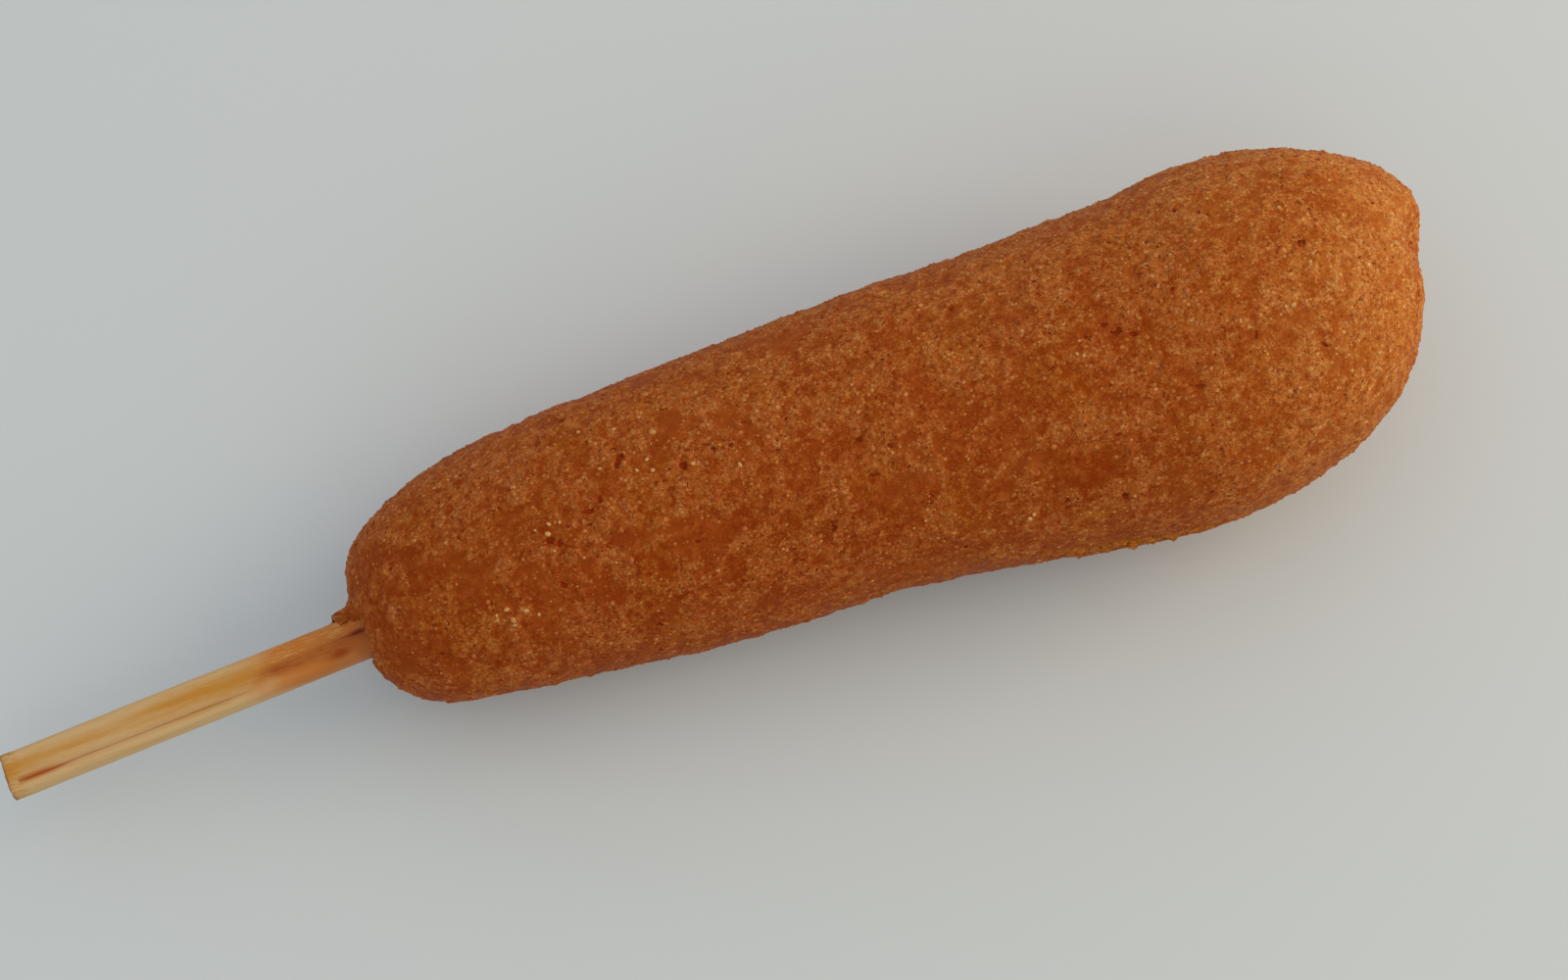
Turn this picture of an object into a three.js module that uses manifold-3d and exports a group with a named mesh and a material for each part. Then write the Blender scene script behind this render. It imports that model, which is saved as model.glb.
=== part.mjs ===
// A corn dog lying on its side: a fried crust in one piece, on a wooden stick that is held in a
// blind socket. Millimetres, +X from the stick's cut end to the round tip, +Y to the far side, +Z up.
// The crust is lofted from half widths at a few stations, and then gets its swells and soft lumps.

import * as THREE from 'three';
import { mergeVertices } from 'three/addons/utils/BufferGeometryUtils.js';
import Module from 'manifold-3d';

// ---- Driving dimensions -------------------------------------------------------------------------

// Crust: +X from its base, where the stick comes out, to its tip.
const crustLength = 131.4;
const stations = [12, 34, 56, 78, 98, 114];
const farHalfWidths = [16.6, 16.5, 17.3, 17.7, 18.1, 19.9];
const nearHalfWidths = [12.7, 15.2, 16.6, 19.4, 22.2, 21.2];
const halfHeights = [13.7, 15.7, 16.8, 17.9, 19.0, 19.7];

// The two ends round off as superellipses, each with a length and a power on either side.
const farBaseEnd = { length: 41.6, power: 2.9 };
const nearBaseEnd = { length: 16.0, power: 2.55 };
const farTipEnd = { length: 30.1, power: 1.4 };
const nearTipEnd = { length: 19.8, power: 2.0 };
const tipLean = 7.0;
const tipLeanStart = 94.6;

// The axis climbs towards the fat end, because the crust lies on its underside.
const axisHeightAtBase = 13.2;
const axisClimb = 0.055;

// Relief. Swells are single soft forms, lumps are the uneven batter.
const swells = [
  { along: 119.7, side: 19.9, rise: 0, radius: 9.9, height: 1.4 },
  { along: 128.5, side: -1.0, rise: 0, radius: 6.0, height: -1.5 },
  { along: 46, side: -16, rise: -3, radius: 6, height: 0.4 },
  { along: 66, side: -17, rise: -3, radius: 7, height: -0.5 },
  { along: 94, side: -22, rise: -3, radius: 5, height: -0.4 },
  { along: 0, side: -1, rise: 2.5, radius: 2.2, height: -1.0 },
];
const lumpCount = 90;
const lumpSeed = 41;
const lumpRadius = { min: 2.6, max: 6.5 };
const lumpHeight = { min: -0.28, max: 0.3 };
const seam = { start: 77, end: 96, angle: -0.3, halfWidth: 1.5, height: 0.5 };

// Stick: a rounded bar, of which only the outer end shows.
const stickWidth = 5.0;
const stickThickness = 3.8;
const stickCorner = 0.9;
const stickChamfer = 0.15;
const stickEndSlope = 0.13;
const stickVisible = 42.2;
const stickLength = 140;
const stickTurn = 0.049;
const stickOffset = -1.4;

// Where the stick goes in: the socket's play, and the lump of batter that crept up the far side.
const socketGap = 0.3;
const lobeHalfSize = { along: 2.8, across: 2.1, upright: 2.0 };
const lobeCentre = { along: 0.6, across: -1.95, upright: 0.5 };

// Fineness of the facets.
const crustRings = 84;
const crustSides = 52;
const lobeSides = 20;
const lobeRings = 12;

// ---- Solids -------------------------------------------------------------------------------------

const manifoldLibrary = await Module();
manifoldLibrary.setup();

/** Turns a closed geometry into a solid that can be joined and cut. */
function toSolid(geometry) {
  const bare = geometry.clone();
  bare.deleteAttribute('normal');
  bare.deleteAttribute('uv');
  const shared = mergeVertices(bare, 1e-4);
  return new manifoldLibrary.Manifold(new manifoldLibrary.Mesh({
    numProp: 3,
    vertProperties: new Float32Array(shared.attributes.position.array),
    triVerts: new Uint32Array(shared.index.array),
  }));
}

/** Turns a solid back into a geometry with face normals. */
function toGeometry(solid) {
  const mesh = solid.getMesh();
  const geometry = new THREE.BufferGeometry();
  geometry.setAttribute('position', new THREE.BufferAttribute(mesh.vertProperties, 3));
  geometry.setIndex(new THREE.BufferAttribute(mesh.triVerts, 1));
  geometry.computeVertexNormals();
  return geometry;
}

/** A closed skin over rings of points: each ring is a function of its number and of the angle. */
function ringSkin(ringCount, sideCount, startPole, endPole, ringPoint) {
  const positions = [...startPole.toArray()];
  for (let ring = 0; ring < ringCount; ring += 1) {
    for (let side = 0; side < sideCount; side += 1) {
      positions.push(...ringPoint(ring, (side / sideCount) * 2 * Math.PI).toArray());
    }
  }
  positions.push(...endPole.toArray());
  const vertex = (ring, side) => 1 + ring * sideCount + (side % sideCount);
  const last = 1 + ringCount * sideCount;
  const faces = [];
  for (let side = 0; side < sideCount; side += 1) {
    faces.push(0, vertex(0, side + 1), vertex(0, side));
    for (let ring = 0; ring < ringCount - 1; ring += 1) {
      const [a, b] = [vertex(ring, side), vertex(ring, side + 1)];
      const [c, d] = [vertex(ring + 1, side), vertex(ring + 1, side + 1)];
      faces.push(a, b, c, b, d, c);
    }
    faces.push(last, vertex(ringCount - 1, side), vertex(ringCount - 1, side + 1));
  }
  const geometry = new THREE.BufferGeometry();
  geometry.setAttribute('position', new THREE.Float32BufferAttribute(positions, 3));
  geometry.setIndex(faces);
  return geometry;
}

// ---- The crust's form ---------------------------------------------------------------------------

/** A smooth curve through one value at each station, level beyond the first and the last. */
function throughStations(values) {
  const curve = new THREE.CubicInterpolant(stations, values, 1, [0]);
  return (along) => curve.evaluate(along)[0];
}

const farWidthAt = throughStations(farHalfWidths);
const nearWidthAt = throughStations(nearHalfWidths);
const halfHeightAt = throughStations(halfHeights);

/** How much of its full width is left at a distance from an end that rounds off. */
function roundOff(distance, end) {
  if (distance >= end.length) return 1;
  const outward = 1 - Math.max(distance, 0) / end.length;
  return (1 - outward ** end.power) ** (1 / end.power);
}

/** Height of the crust's axis above the ground. */
function axisHeight(along) {
  return axisHeightAtBase + axisClimb * along;
}

/** Sideways drift of the axis: the fat tip leans to the far side. */
function lean(along) {
  const part = Math.max(along - tipLeanStart, 0) / (crustLength - tipLeanStart);
  return tipLean * part * part;
}

/** The crust's cross-section at a place along it. */
function sectionAt(along) {
  const toTip = crustLength - along;
  const far = farWidthAt(along) * roundOff(along, farBaseEnd) * roundOff(toTip, farTipEnd);
  const near = nearWidthAt(along) * roundOff(along, nearBaseEnd) * roundOff(toTip, nearTipEnd);
  const halfWidth = (far + near) / 2;
  const flatness = (2 * halfHeightAt(along)) / (farWidthAt(along) + nearWidthAt(along));
  return { centre: lean(along) + (far - near) / 2, halfWidth, halfHeight: halfWidth * flatness };
}

/** A point of the crust before its relief; angle 0 is the far side, a quarter turn is the top. */
function skinPoint(along, angle) {
  const section = sectionAt(along);
  return new THREE.Vector3(
    along,
    section.centre + section.halfWidth * Math.cos(angle),
    axisHeight(along) + section.halfHeight * Math.sin(angle),
  );
}

/** A soft round rise, or a dip where its height is negative. */
function softRise(point, centre, radius, height) {
  return height * Math.exp(-point.distanceToSquared(centre) / (2 * radius * radius));
}

/** The centres of the named swells. */
function swellRises() {
  return swells.map(({ along, side, rise, radius, height }) => ({
    centre: new THREE.Vector3(along, side, axisHeight(along) + rise),
    radius,
    height,
  }));
}

/** Lumps of uneven batter, scattered over the whole crust from one seed. */
function lumpRises() {
  THREE.MathUtils.seededRandom(lumpSeed);
  const between = ({ min, max }) => min + (max - min) * THREE.MathUtils.seededRandom();
  const lumps = [];
  for (let count = 0; count < lumpCount; count += 1) {
    lumps.push({
      centre: skinPoint(between({ min: 3, max: crustLength - 3 }), between({ min: 0, max: 2 * Math.PI })),
      radius: between(lumpRadius),
      height: between(lumpHeight),
    });
  }
  return lumps;
}

/** The low ridge along the seam where the batter split, on the near side below its widest line. */
function seamRise(point) {
  const middle = (seam.start + seam.end) / 2;
  const reach = (seam.end - seam.start) / 2;
  const off = Math.abs(point.x - middle) / reach;
  if (off >= 1) return 0;
  const line = skinPoint(point.x, Math.PI - seam.angle);
  const away = (point.z - line.z) / seam.halfWidth;
  const onNearSide = point.y < line.y + seam.halfWidth ? 1 : 0;
  return onNearSide * seam.height * (1 - off * off) * Math.exp(-away * away);
}

/** The crust's outer skin with all its relief. */
function crustSkin() {
  const alongAt = (ring) => {
    const turn = (Math.PI * (ring + 1)) / (crustRings + 1);
    return (crustLength * (1 - Math.cos(turn))) / 2;
  };
  const basePole = new THREE.Vector3(0, 0, axisHeight(0));
  const tipPole = new THREE.Vector3(crustLength, tipLean, axisHeight(crustLength));
  const skin = ringSkin(crustRings, crustSides, basePole, tipPole, (ring, angle) =>
    skinPoint(alongAt(ring), angle));
  skin.computeVertexNormals();
  const rises = [...swellRises(), ...lumpRises()];
  const position = skin.attributes.position;
  const outward = new THREE.Vector3();
  const point = new THREE.Vector3();
  for (let index = 0; index < position.count; index += 1) {
    point.fromBufferAttribute(position, index);
    outward.fromBufferAttribute(skin.attributes.normal, index);
    let height = seamRise(point);
    for (const { centre, radius, height: top } of rises) height += softRise(point, centre, radius, top);
    point.addScaledVector(outward, height);
    position.setXYZ(index, point.x, point.y, point.z);
  }
  return skin;
}

// ---- The stick, its socket and the lobe -----------------------------------------------------------

/** The stick's own frame: z runs out of the crust along the stick, x to the near side. */
function stickFrame() {
  const outward = new THREE.Vector3(-1, -stickTurn, -axisClimb).normalize();
  const up = new THREE.Vector3(0, 0, 1);
  const across = new THREE.Vector3().crossVectors(up, outward).normalize();
  const upright = new THREE.Vector3().crossVectors(outward, across);
  return new THREE.Matrix4()
    .makeBasis(across, upright, outward)
    .setPosition(0, stickOffset, axisHeight(0));
}

/** A rectangle with round corners about the origin, grown on all sides by a margin. */
function barOutline(margin) {
  const halfWidth = stickWidth / 2 + margin;
  const halfThickness = stickThickness / 2 + margin;
  const corner = stickCorner + margin;
  const outline = new THREE.Shape();
  outline.absarc(halfWidth - corner, halfThickness - corner, corner, 0, Math.PI / 2);
  outline.absarc(corner - halfWidth, halfThickness - corner, corner, Math.PI / 2, Math.PI);
  outline.absarc(corner - halfWidth, corner - halfThickness, corner, Math.PI, 1.5 * Math.PI);
  outline.absarc(halfWidth - corner, corner - halfThickness, corner, 1.5 * Math.PI, 2 * Math.PI);
  outline.closePath();
  return outline;
}

/** The stick, from its inner end, at negative z in its frame, to its cut end, which slopes a little. */
function stickBar() {
  const bar = new THREE.ExtrudeGeometry(barOutline(0), {
    depth: stickLength - 2 * stickChamfer,
    curveSegments: 5,
    bevelThickness: stickChamfer,
    bevelSize: stickChamfer,
    bevelOffset: -stickChamfer,
    bevelSegments: 1,
  });
  bar.translate(0, 0, stickVisible - stickLength + stickChamfer);
  const position = bar.attributes.position;
  for (let index = 0; index < position.count; index += 1) {
    const down = stickThickness / 2 - position.getY(index);
    if (position.getZ(index) > 0) position.setZ(index, position.getZ(index) + stickEndSlope * down);
  }
  return bar;
}

/** The room the stick takes in the crust, open towards the cut end. */
function socketRoom() {
  const depth = stickLength - stickVisible + socketGap;
  const room = new THREE.ExtrudeGeometry(barOutline(socketGap), {
    depth: depth + 2 * lobeHalfSize.along,
    curveSegments: 5,
    bevelEnabled: false,
  });
  return room.translate(0, 0, -depth).applyMatrix4(stickFrame());
}

/** The lump of batter that crept up the far side of the stick. */
function lobe() {
  const lump = new THREE.SphereGeometry(1, lobeSides, lobeRings);
  lump.scale(lobeHalfSize.across, lobeHalfSize.upright, lobeHalfSize.along);
  lump.translate(lobeCentre.across, lobeCentre.upright, lobeCentre.along);
  return lump.applyMatrix4(stickFrame());
}

/** Everything below the ground, which the resting underside is cut flat against. */
function ground() {
  const depth = 10;
  const block = new THREE.BoxGeometry(2 * crustLength, 4 * halfHeights.at(-1), depth);
  return block.translate(crustLength / 2, 0, -depth / 2);
}

// ---- Sub-parts ----------------------------------------------------------------------------------

/** The fried crust: one solid with the stick's blind socket and a small flat underside. */
function buildCrust() {
  const solid = toSolid(crustSkin())
    .add(toSolid(lobe()))
    .subtract(toSolid(socketRoom()))
    .subtract(toSolid(ground()));
  const fried = new THREE.MeshStandardMaterial({ color: 0x8f4719, roughness: 0.6, metalness: 0 });
  const mesh = new THREE.Mesh(toGeometry(solid), fried);
  mesh.name = 'crust';
  return mesh;
}

/** The wooden stick. */
function buildStick() {
  const wood = new THREE.MeshStandardMaterial({ color: 0xb8945c, roughness: 0.7, metalness: 0 });
  const mesh = new THREE.Mesh(stickBar(), wood);
  mesh.name = 'stick';
  mesh.applyMatrix4(stickFrame());
  return mesh;
}

// The origin is under the middle of the whole, on the ground.
const cornDog = new THREE.Group();
cornDog.add(buildCrust(), buildStick());
cornDog.updateMatrixWorld(true);
const extent = new THREE.Box3().setFromObject(cornDog, true);
const middle = extent.getCenter(new THREE.Vector3());
cornDog.position.set(-middle.x, -middle.y, -extent.min.z);
cornDog.updateMatrixWorld(true);

export default cornDog;
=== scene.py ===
"""Looks of a corn dog: a crust of browned cornmeal batter on a wooden stick, lying on its side.

Metres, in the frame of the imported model: +X runs from the stick's cut end to the crust's round tip,
+Y to the far side and +Z up. Sizes are written in millimetres and multiplied by MM.
"""
import logging
import math
from collections.abc import Callable, Mapping, Sequence
from dataclasses import dataclass, field
from functools import partial
from typing import ClassVar

import bpy
import numpy as np
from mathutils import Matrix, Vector, noise


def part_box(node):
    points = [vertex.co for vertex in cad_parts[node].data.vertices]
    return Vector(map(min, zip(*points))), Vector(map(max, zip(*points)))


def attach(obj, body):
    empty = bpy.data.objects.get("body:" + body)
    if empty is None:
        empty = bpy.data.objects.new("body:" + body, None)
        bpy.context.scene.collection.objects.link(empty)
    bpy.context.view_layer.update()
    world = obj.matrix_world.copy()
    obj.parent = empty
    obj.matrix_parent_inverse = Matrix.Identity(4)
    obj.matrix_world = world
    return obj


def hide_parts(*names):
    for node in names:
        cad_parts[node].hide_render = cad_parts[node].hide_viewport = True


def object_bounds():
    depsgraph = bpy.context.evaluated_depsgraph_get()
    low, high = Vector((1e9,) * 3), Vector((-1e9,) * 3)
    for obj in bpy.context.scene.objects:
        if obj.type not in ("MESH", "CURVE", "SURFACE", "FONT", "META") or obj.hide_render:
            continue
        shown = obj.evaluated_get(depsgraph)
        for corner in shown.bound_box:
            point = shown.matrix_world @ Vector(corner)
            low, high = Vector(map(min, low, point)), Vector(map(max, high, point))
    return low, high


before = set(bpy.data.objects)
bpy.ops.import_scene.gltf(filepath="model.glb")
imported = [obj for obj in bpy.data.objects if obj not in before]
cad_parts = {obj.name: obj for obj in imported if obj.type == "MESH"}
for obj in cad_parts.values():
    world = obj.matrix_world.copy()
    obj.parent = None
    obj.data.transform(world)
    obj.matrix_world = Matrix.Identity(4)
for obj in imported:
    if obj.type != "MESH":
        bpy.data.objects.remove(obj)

CAD_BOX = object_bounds()
MM = 0.001
LOG = logging.getLogger("corn_dog")
Colour = tuple[float, float, float]
BODY = "root"


def srgb(red: int, green: int, blue: int) -> Colour:
    """Turns a colour as a screen shows it into the linear values that shaders take.

    Args:
        red: Its red level, 0 to 255.
        green: Its green level.
        blue: Its blue level.

    Returns:
        The linear colour, 0 to 1.
    """
    def linear(level: int) -> float:
        """The linear value of one level."""
        share = level / 255
        return share / 12.92 if share <= 0.04045 else ((share + 0.055) / 1.055) ** 2.4

    return linear(red), linear(green), linear(blue)


# ---- Shader graphs ------------------------------------------------------------------------------


class Value:
    """A shader socket with a number, on which Python arithmetic adds Math nodes."""

    def __init__(self, graph: "Graph", socket: bpy.types.NodeSocket) -> None:
        """Wraps an output socket of the graph."""
        self.graph = graph
        self.socket = socket

    def _math(self, operation: str, *operands: "Value | float") -> "Value":
        """Adds one Math node over the operands."""
        node = self.graph.add("ShaderNodeMath", {"operation": operation}, dict(enumerate(operands)))
        return Value(self.graph, node.outputs[0])

    def __add__(self, other: "Value | float") -> "Value":
        """self + other."""
        return self._math("ADD", self, other)

    def __radd__(self, other: float) -> "Value":
        """other + self."""
        return self._math("ADD", other, self)

    def __sub__(self, other: "Value | float") -> "Value":
        """self - other."""
        return self._math("SUBTRACT", self, other)

    def __rsub__(self, other: float) -> "Value":
        """other - self."""
        return self._math("SUBTRACT", other, self)

    def __mul__(self, other: "Value | float") -> "Value":
        """self * other."""
        return self._math("MULTIPLY", self, other)

    def __rmul__(self, other: float) -> "Value":
        """other * self."""
        return self._math("MULTIPLY", other, self)

    def __abs__(self) -> "Value":
        """The value without its sign."""
        return self._math("ABSOLUTE", self)

    def step(self, low: float, high: float) -> "Value":
        """Rises smoothly from 0 at low to 1 at high; falls where low is above high.

        Args:
            low: The value at which the result is 0.
            high: The value at which the result is 1.

        Returns:
            The smooth step.
        """
        settings = {"interpolation_type": "SMOOTHSTEP"}
        if low <= high:
            node = self.graph.add("ShaderNodeMapRange", settings, {"Value": self, 1: low, 2: high})
            return Value(self.graph, node.outputs[0])
        return 1 - self.step(high, low)


class Graph:
    """The node tree of one material, built from its surface shader outwards."""

    def __init__(self, name: str) -> None:
        """Starts an empty material.

        Args:
            name: The material's name.
        """
        self.material = bpy.data.materials.new(name)
        self.material.use_nodes = True
        self.tree = self.material.node_tree
        self.tree.nodes.clear()
        self.coordinates = self.add("ShaderNodeTexCoord").outputs["Object"]

    def add(
        self,
        kind: str,
        settings: Mapping[str, object] | None = None,
        sockets: Mapping[str | int, object] | None = None,
    ) -> bpy.types.Node:
        """Adds a node.

        Args:
            kind: The node's type.
            settings: Its properties, set before its sockets.
            sockets: Values or links for its inputs, by name or number.

        Returns:
            The new node.
        """
        node = self.tree.nodes.new(kind)
        for name, setting in (settings or {}).items():
            setattr(node, name, setting)
        for key, value in (sockets or {}).items():
            if isinstance(value, Value):
                value = value.socket
            if isinstance(value, bpy.types.NodeSocket):
                self.tree.links.new(value, node.inputs[key])
            else:
                node.inputs[key].default_value = value
        return node

    def attribute(self, name: str) -> Value:
        """The value of a point attribute of the mesh."""
        node = self.add("ShaderNodeAttribute", {"attribute_name": name})
        return Value(self, node.outputs["Fac"])

    def drawn_out(self, stretch: float) -> bpy.types.NodeSocket:
        """Object coordinates that draw a pattern out that many times along +X."""
        sockets = {"Vector": self.coordinates, "Scale": (1 / stretch, 1.0, 1.0)}
        return self.add("ShaderNodeMapping", {"vector_type": "POINT"}, sockets).outputs[0]

    def noise(
        self,
        wavelength: float,
        detail: float = 2.0,
        rough: float = 0.5,
        vector: bpy.types.NodeSocket | None = None,
    ) -> Value:
        """Soft noise from 0 to 1, most of it near a half.

        Args:
            wavelength: Size of its largest forms, in the unit of the coordinates.
            detail: How many finer layers it has.
            rough: How strong those are.
            vector: Coordinates other than the object's.

        Returns:
            The noise.
        """
        vector = vector or self.coordinates
        sockets = {"Vector": vector, "Scale": 1 / wavelength, "Detail": detail, "Roughness": rough}
        return Value(self, self.add("ShaderNodeTexNoise", None, sockets).outputs["Fac"])

    def cells(
        self, size: float, vector: bpy.types.NodeSocket | None = None
    ) -> tuple[Value, Value, Value]:
        """Irregular cells.

        Args:
            size: Their mean width.
            vector: Coordinates other than the object's.

        Returns:
            The distance from a cell's middle, in cells, and two random numbers for each cell.
        """
        sockets = {"Vector": vector or self.coordinates, "Scale": 1 / size}
        node = self.add("ShaderNodeTexVoronoi", {"feature": "F1"}, sockets)
        split = self.add("ShaderNodeSeparateColor", None, {"Color": node.outputs["Color"]})
        distance = Value(self, node.outputs["Distance"])
        return distance, Value(self, split.outputs[0]), Value(self, split.outputs[1])

    def warped(self, wavelength: float, reach: float) -> bpy.types.NodeSocket:
        """Object coordinates pushed about by a soft noise, so that cells lose their straight edges.

        Args:
            wavelength: Size of the noise's forms.
            reach: How far it pushes.

        Returns:
            The socket with the warped coordinates.
        """
        sockets = {"Vector": self.coordinates, "Scale": 1 / wavelength, "Detail": 1.0}
        colour = self.add("ShaderNodeTexNoise", None, sockets).outputs["Color"]
        add, multiply = {"operation": "ADD"}, {"operation": "MULTIPLY"}
        centred = self.add("ShaderNodeVectorMath", add, {0: colour, 1: (-0.5,) * 3}).outputs[0]
        pushed = self.add("ShaderNodeVectorMath", multiply, {0: centred, 1: (reach,) * 3}).outputs[0]
        return self.add("ShaderNodeVectorMath", add, {0: self.coordinates, 1: pushed}).outputs[0]

    def mix(
        self,
        share: Value,
        first: Colour | bpy.types.NodeSocket,
        second: Colour | bpy.types.NodeSocket,
    ) -> bpy.types.NodeSocket:
        """Mixes two colours.

        Args:
            share: 0 for the first and 1 for the second.
            first: A colour or a link to one.
            second: A colour or a link to one.

        Returns:
            The socket with the mixed colour.
        """
        ends = [(*end, 1.0) if isinstance(end, tuple) else end for end in (first, second)]
        settings = {"data_type": "RGBA", "clamp_factor": True}
        node = self.add("ShaderNodeMix", settings, {0: share, 6: ends[0], 7: ends[1]})
        return node.outputs[2]

    def ramp(self, tone: Value, colours: Sequence[Colour]) -> bpy.types.NodeSocket:
        """Runs through evenly spaced colours as the tone goes from 0 to 1.

        Args:
            tone: The place on the ramp.
            colours: Its colours, from tone 0 to tone 1.

        Returns:
            The socket with the colour.
        """
        colour: Colour | bpy.types.NodeSocket = colours[0]
        for index, following in enumerate(colours[1:]):
            colour = self.mix(tone * (len(colours) - 1) - index, colour, following)
        return colour

    def bump(self, height: Value) -> bpy.types.NodeSocket:
        """A normal that follows a height given in millimetres."""
        return self.add("ShaderNodeBump", None, {"Distance": MM, "Height": height}).outputs[0]

    def surface(self, sockets: Mapping[str, object]) -> bpy.types.Material:
        """Ends the graph with a Principled shader.

        Args:
            sockets: Values or links for the shader's inputs, by name.

        Returns:
            The finished material.
        """
        shader = self.add("ShaderNodeBsdfPrincipled", None, sockets)
        self.add("ShaderNodeOutputMaterial", None, {"Surface": shader.outputs[0]})
        return self.material


# ---- The view -----------------------------------------------------------------------------------


@dataclass(frozen=True)
class View:
    """The camera's place and angles, and the rays through the points of its frame."""

    azimuth: float = math.radians(-19.18)
    elevation: float = math.radians(72.0)
    distance: float = 330 * MM
    aim: tuple[float, float, float] = (6.84 * MM, -0.03 * MM, 16.1 * MM)
    lens: float = 66.1
    sensor: float = 36.0
    columns: int = 1600
    rows: int = 1000

    def right(self) -> Vector:
        """The direction that points to the right in the frame."""
        return Vector((math.cos(self.azimuth), math.sin(self.azimuth), 0.0))

    def back(self) -> Vector:
        """The direction from what the camera looks at to the camera."""
        ahead = Vector((math.sin(self.azimuth), -math.cos(self.azimuth), 0.0))
        return ahead * math.cos(self.elevation) + Vector((0, 0, math.sin(self.elevation)))

    def place(self) -> Vector:
        """Where the camera stands."""
        return Vector(self.aim) + self.back() * self.distance

    def pitch(self) -> float:
        """The width of one column of the frame at a distance of 1."""
        return self.sensor / self.lens / self.columns

    def span(self, columns: float) -> float:
        """The real length of something near the aim that is so many columns long."""
        return columns * self.pitch() * self.distance

    def spot(self, piece: bpy.types.Object, column: float, row: float) -> tuple[np.ndarray, np.ndarray]:
        """Finds what a point of the frame shows.

        Args:
            piece: The piece to look at, which fills that point.
            column: The point's distance from the frame's left edge.
            row: Its distance from the top edge.

        Returns:
            The place on the piece and the normal there.
        """
        up = self.back().cross(self.right())
        ray = self.right() * (column - self.columns / 2) + up * (self.rows / 2 - row)
        _, place, normal, _ = piece.ray_cast(self.place(), ray * self.pitch() - self.back())
        return np.array(place), np.array(normal)


# ---- Mesh work ----------------------------------------------------------------------------------


class Bench:
    """The workbench: edit-mode work on one piece at a time, and its points as arrays."""

    @staticmethod
    def take(piece: bpy.types.Object) -> None:
        """Makes a piece the only selected and the active object.

        Args:
            piece: The piece.
        """
        if bpy.context.object and bpy.context.object.mode != "OBJECT":
            bpy.ops.object.mode_set(mode="OBJECT")
        bpy.ops.object.select_all(action="DESELECT")
        piece.select_set(True)
        bpy.context.view_layer.objects.active = piece

    @classmethod
    def edit(cls, piece: bpy.types.Object, work: Callable[[], object]) -> None:
        """Runs operators on a piece in edit mode.

        Args:
            piece: The piece, with the vertices or faces selected that they act on.
            work: Calls the operators.
        """
        cls.take(piece)
        bpy.ops.object.mode_set(mode="EDIT")
        work()
        bpy.ops.object.mode_set(mode="OBJECT")

    @classmethod
    def modify(cls, piece: bpy.types.Object, kind: str, **settings: object) -> None:
        """Adds a modifier and applies it.

        Args:
            piece: The piece.
            kind: The modifier's type.
            **settings: Its properties.
        """
        cls.take(piece)
        modifier = piece.modifiers.new(kind.lower(), kind)
        for name, setting in settings.items():
            setattr(modifier, name, setting)
        bpy.ops.object.modifier_apply(modifier=modifier.name)

    @classmethod
    def copy_solid(cls, node: str, name: str) -> bpy.types.Object:
        """A piece with a merged copy of a solid's mesh.

        Args:
            node: The solid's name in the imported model.
            name: The new piece's name.

        Returns:
            The new piece, at the origin.
        """
        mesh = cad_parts[node].data.copy()
        mesh.materials.clear()
        piece = bpy.data.objects.new(name, mesh)
        bpy.context.scene.collection.objects.link(piece)
        cls.choose(piece, vertices=np.ones(len(mesh.vertices), bool))
        cls.edit(piece, lambda: bpy.ops.mesh.remove_doubles(threshold=0.001 * MM))
        return piece

    @staticmethod
    def _vectors(elements: bpy.types.bpy_prop_collection, name: str) -> np.ndarray:
        """Reads a vector of each element of a mesh.

        Args:
            elements: The mesh's vertices or polygons.
            name: The vector's name.

        Returns:
            One row for each element.
        """
        flat = np.empty(3 * len(elements), np.float32)
        elements.foreach_get(name, flat)
        return flat.reshape(-1, 3).astype(float)

    @classmethod
    def points(cls, piece: bpy.types.Object) -> np.ndarray:
        """The piece's vertices, one row each."""
        return cls._vectors(piece.data.vertices, "co")

    @classmethod
    def normals(cls, piece: bpy.types.Object) -> np.ndarray:
        """The vertices' normals, one row each."""
        return cls._vectors(piece.data.vertices, "normal")

    @classmethod
    def face_middles(cls, piece: bpy.types.Object) -> np.ndarray:
        """The middles of the piece's faces, one row each."""
        return cls._vectors(piece.data.polygons, "center")

    @classmethod
    def face_normals(cls, piece: bpy.types.Object) -> np.ndarray:
        """The faces' normals, one row each."""
        return cls._vectors(piece.data.polygons, "normal")

    @staticmethod
    def move(piece: bpy.types.Object, points: np.ndarray) -> None:
        """Puts the piece's vertices at those points."""
        piece.data.vertices.foreach_set("co", points.astype(np.float32).ravel())
        piece.data.update()

    @staticmethod
    def choose(
        piece: bpy.types.Object,
        vertices: np.ndarray | None = None,
        faces: np.ndarray | None = None,
    ) -> None:
        """Selects exactly the vertices or the faces that a mask marks.

        Args:
            piece: The piece.
            vertices: One mark for each vertex.
            faces: Or one for each face.
        """
        mesh = piece.data
        mesh.vertices.foreach_set("select", np.zeros(len(mesh.vertices), bool))
        mesh.edges.foreach_set("select", np.zeros(len(mesh.edges), bool))
        mesh.polygons.foreach_set("select", np.zeros(len(mesh.polygons), bool))
        Bench.take(piece)
        modes = (vertices is not None, False, faces is not None)
        bpy.context.scene.tool_settings.mesh_select_mode = modes
        if vertices is not None:
            mesh.vertices.foreach_set("select", vertices)
        if faces is not None:
            mesh.polygons.foreach_set("select", faces)

    @staticmethod
    def paint(piece: bpy.types.Object, name: str, values: np.ndarray) -> None:
        """Stores one number for each vertex as an attribute that shaders can read."""
        attribute = piece.data.attributes.new(name, "FLOAT", "POINT")
        attribute.data.foreach_set("value", values.astype(np.float32))


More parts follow.
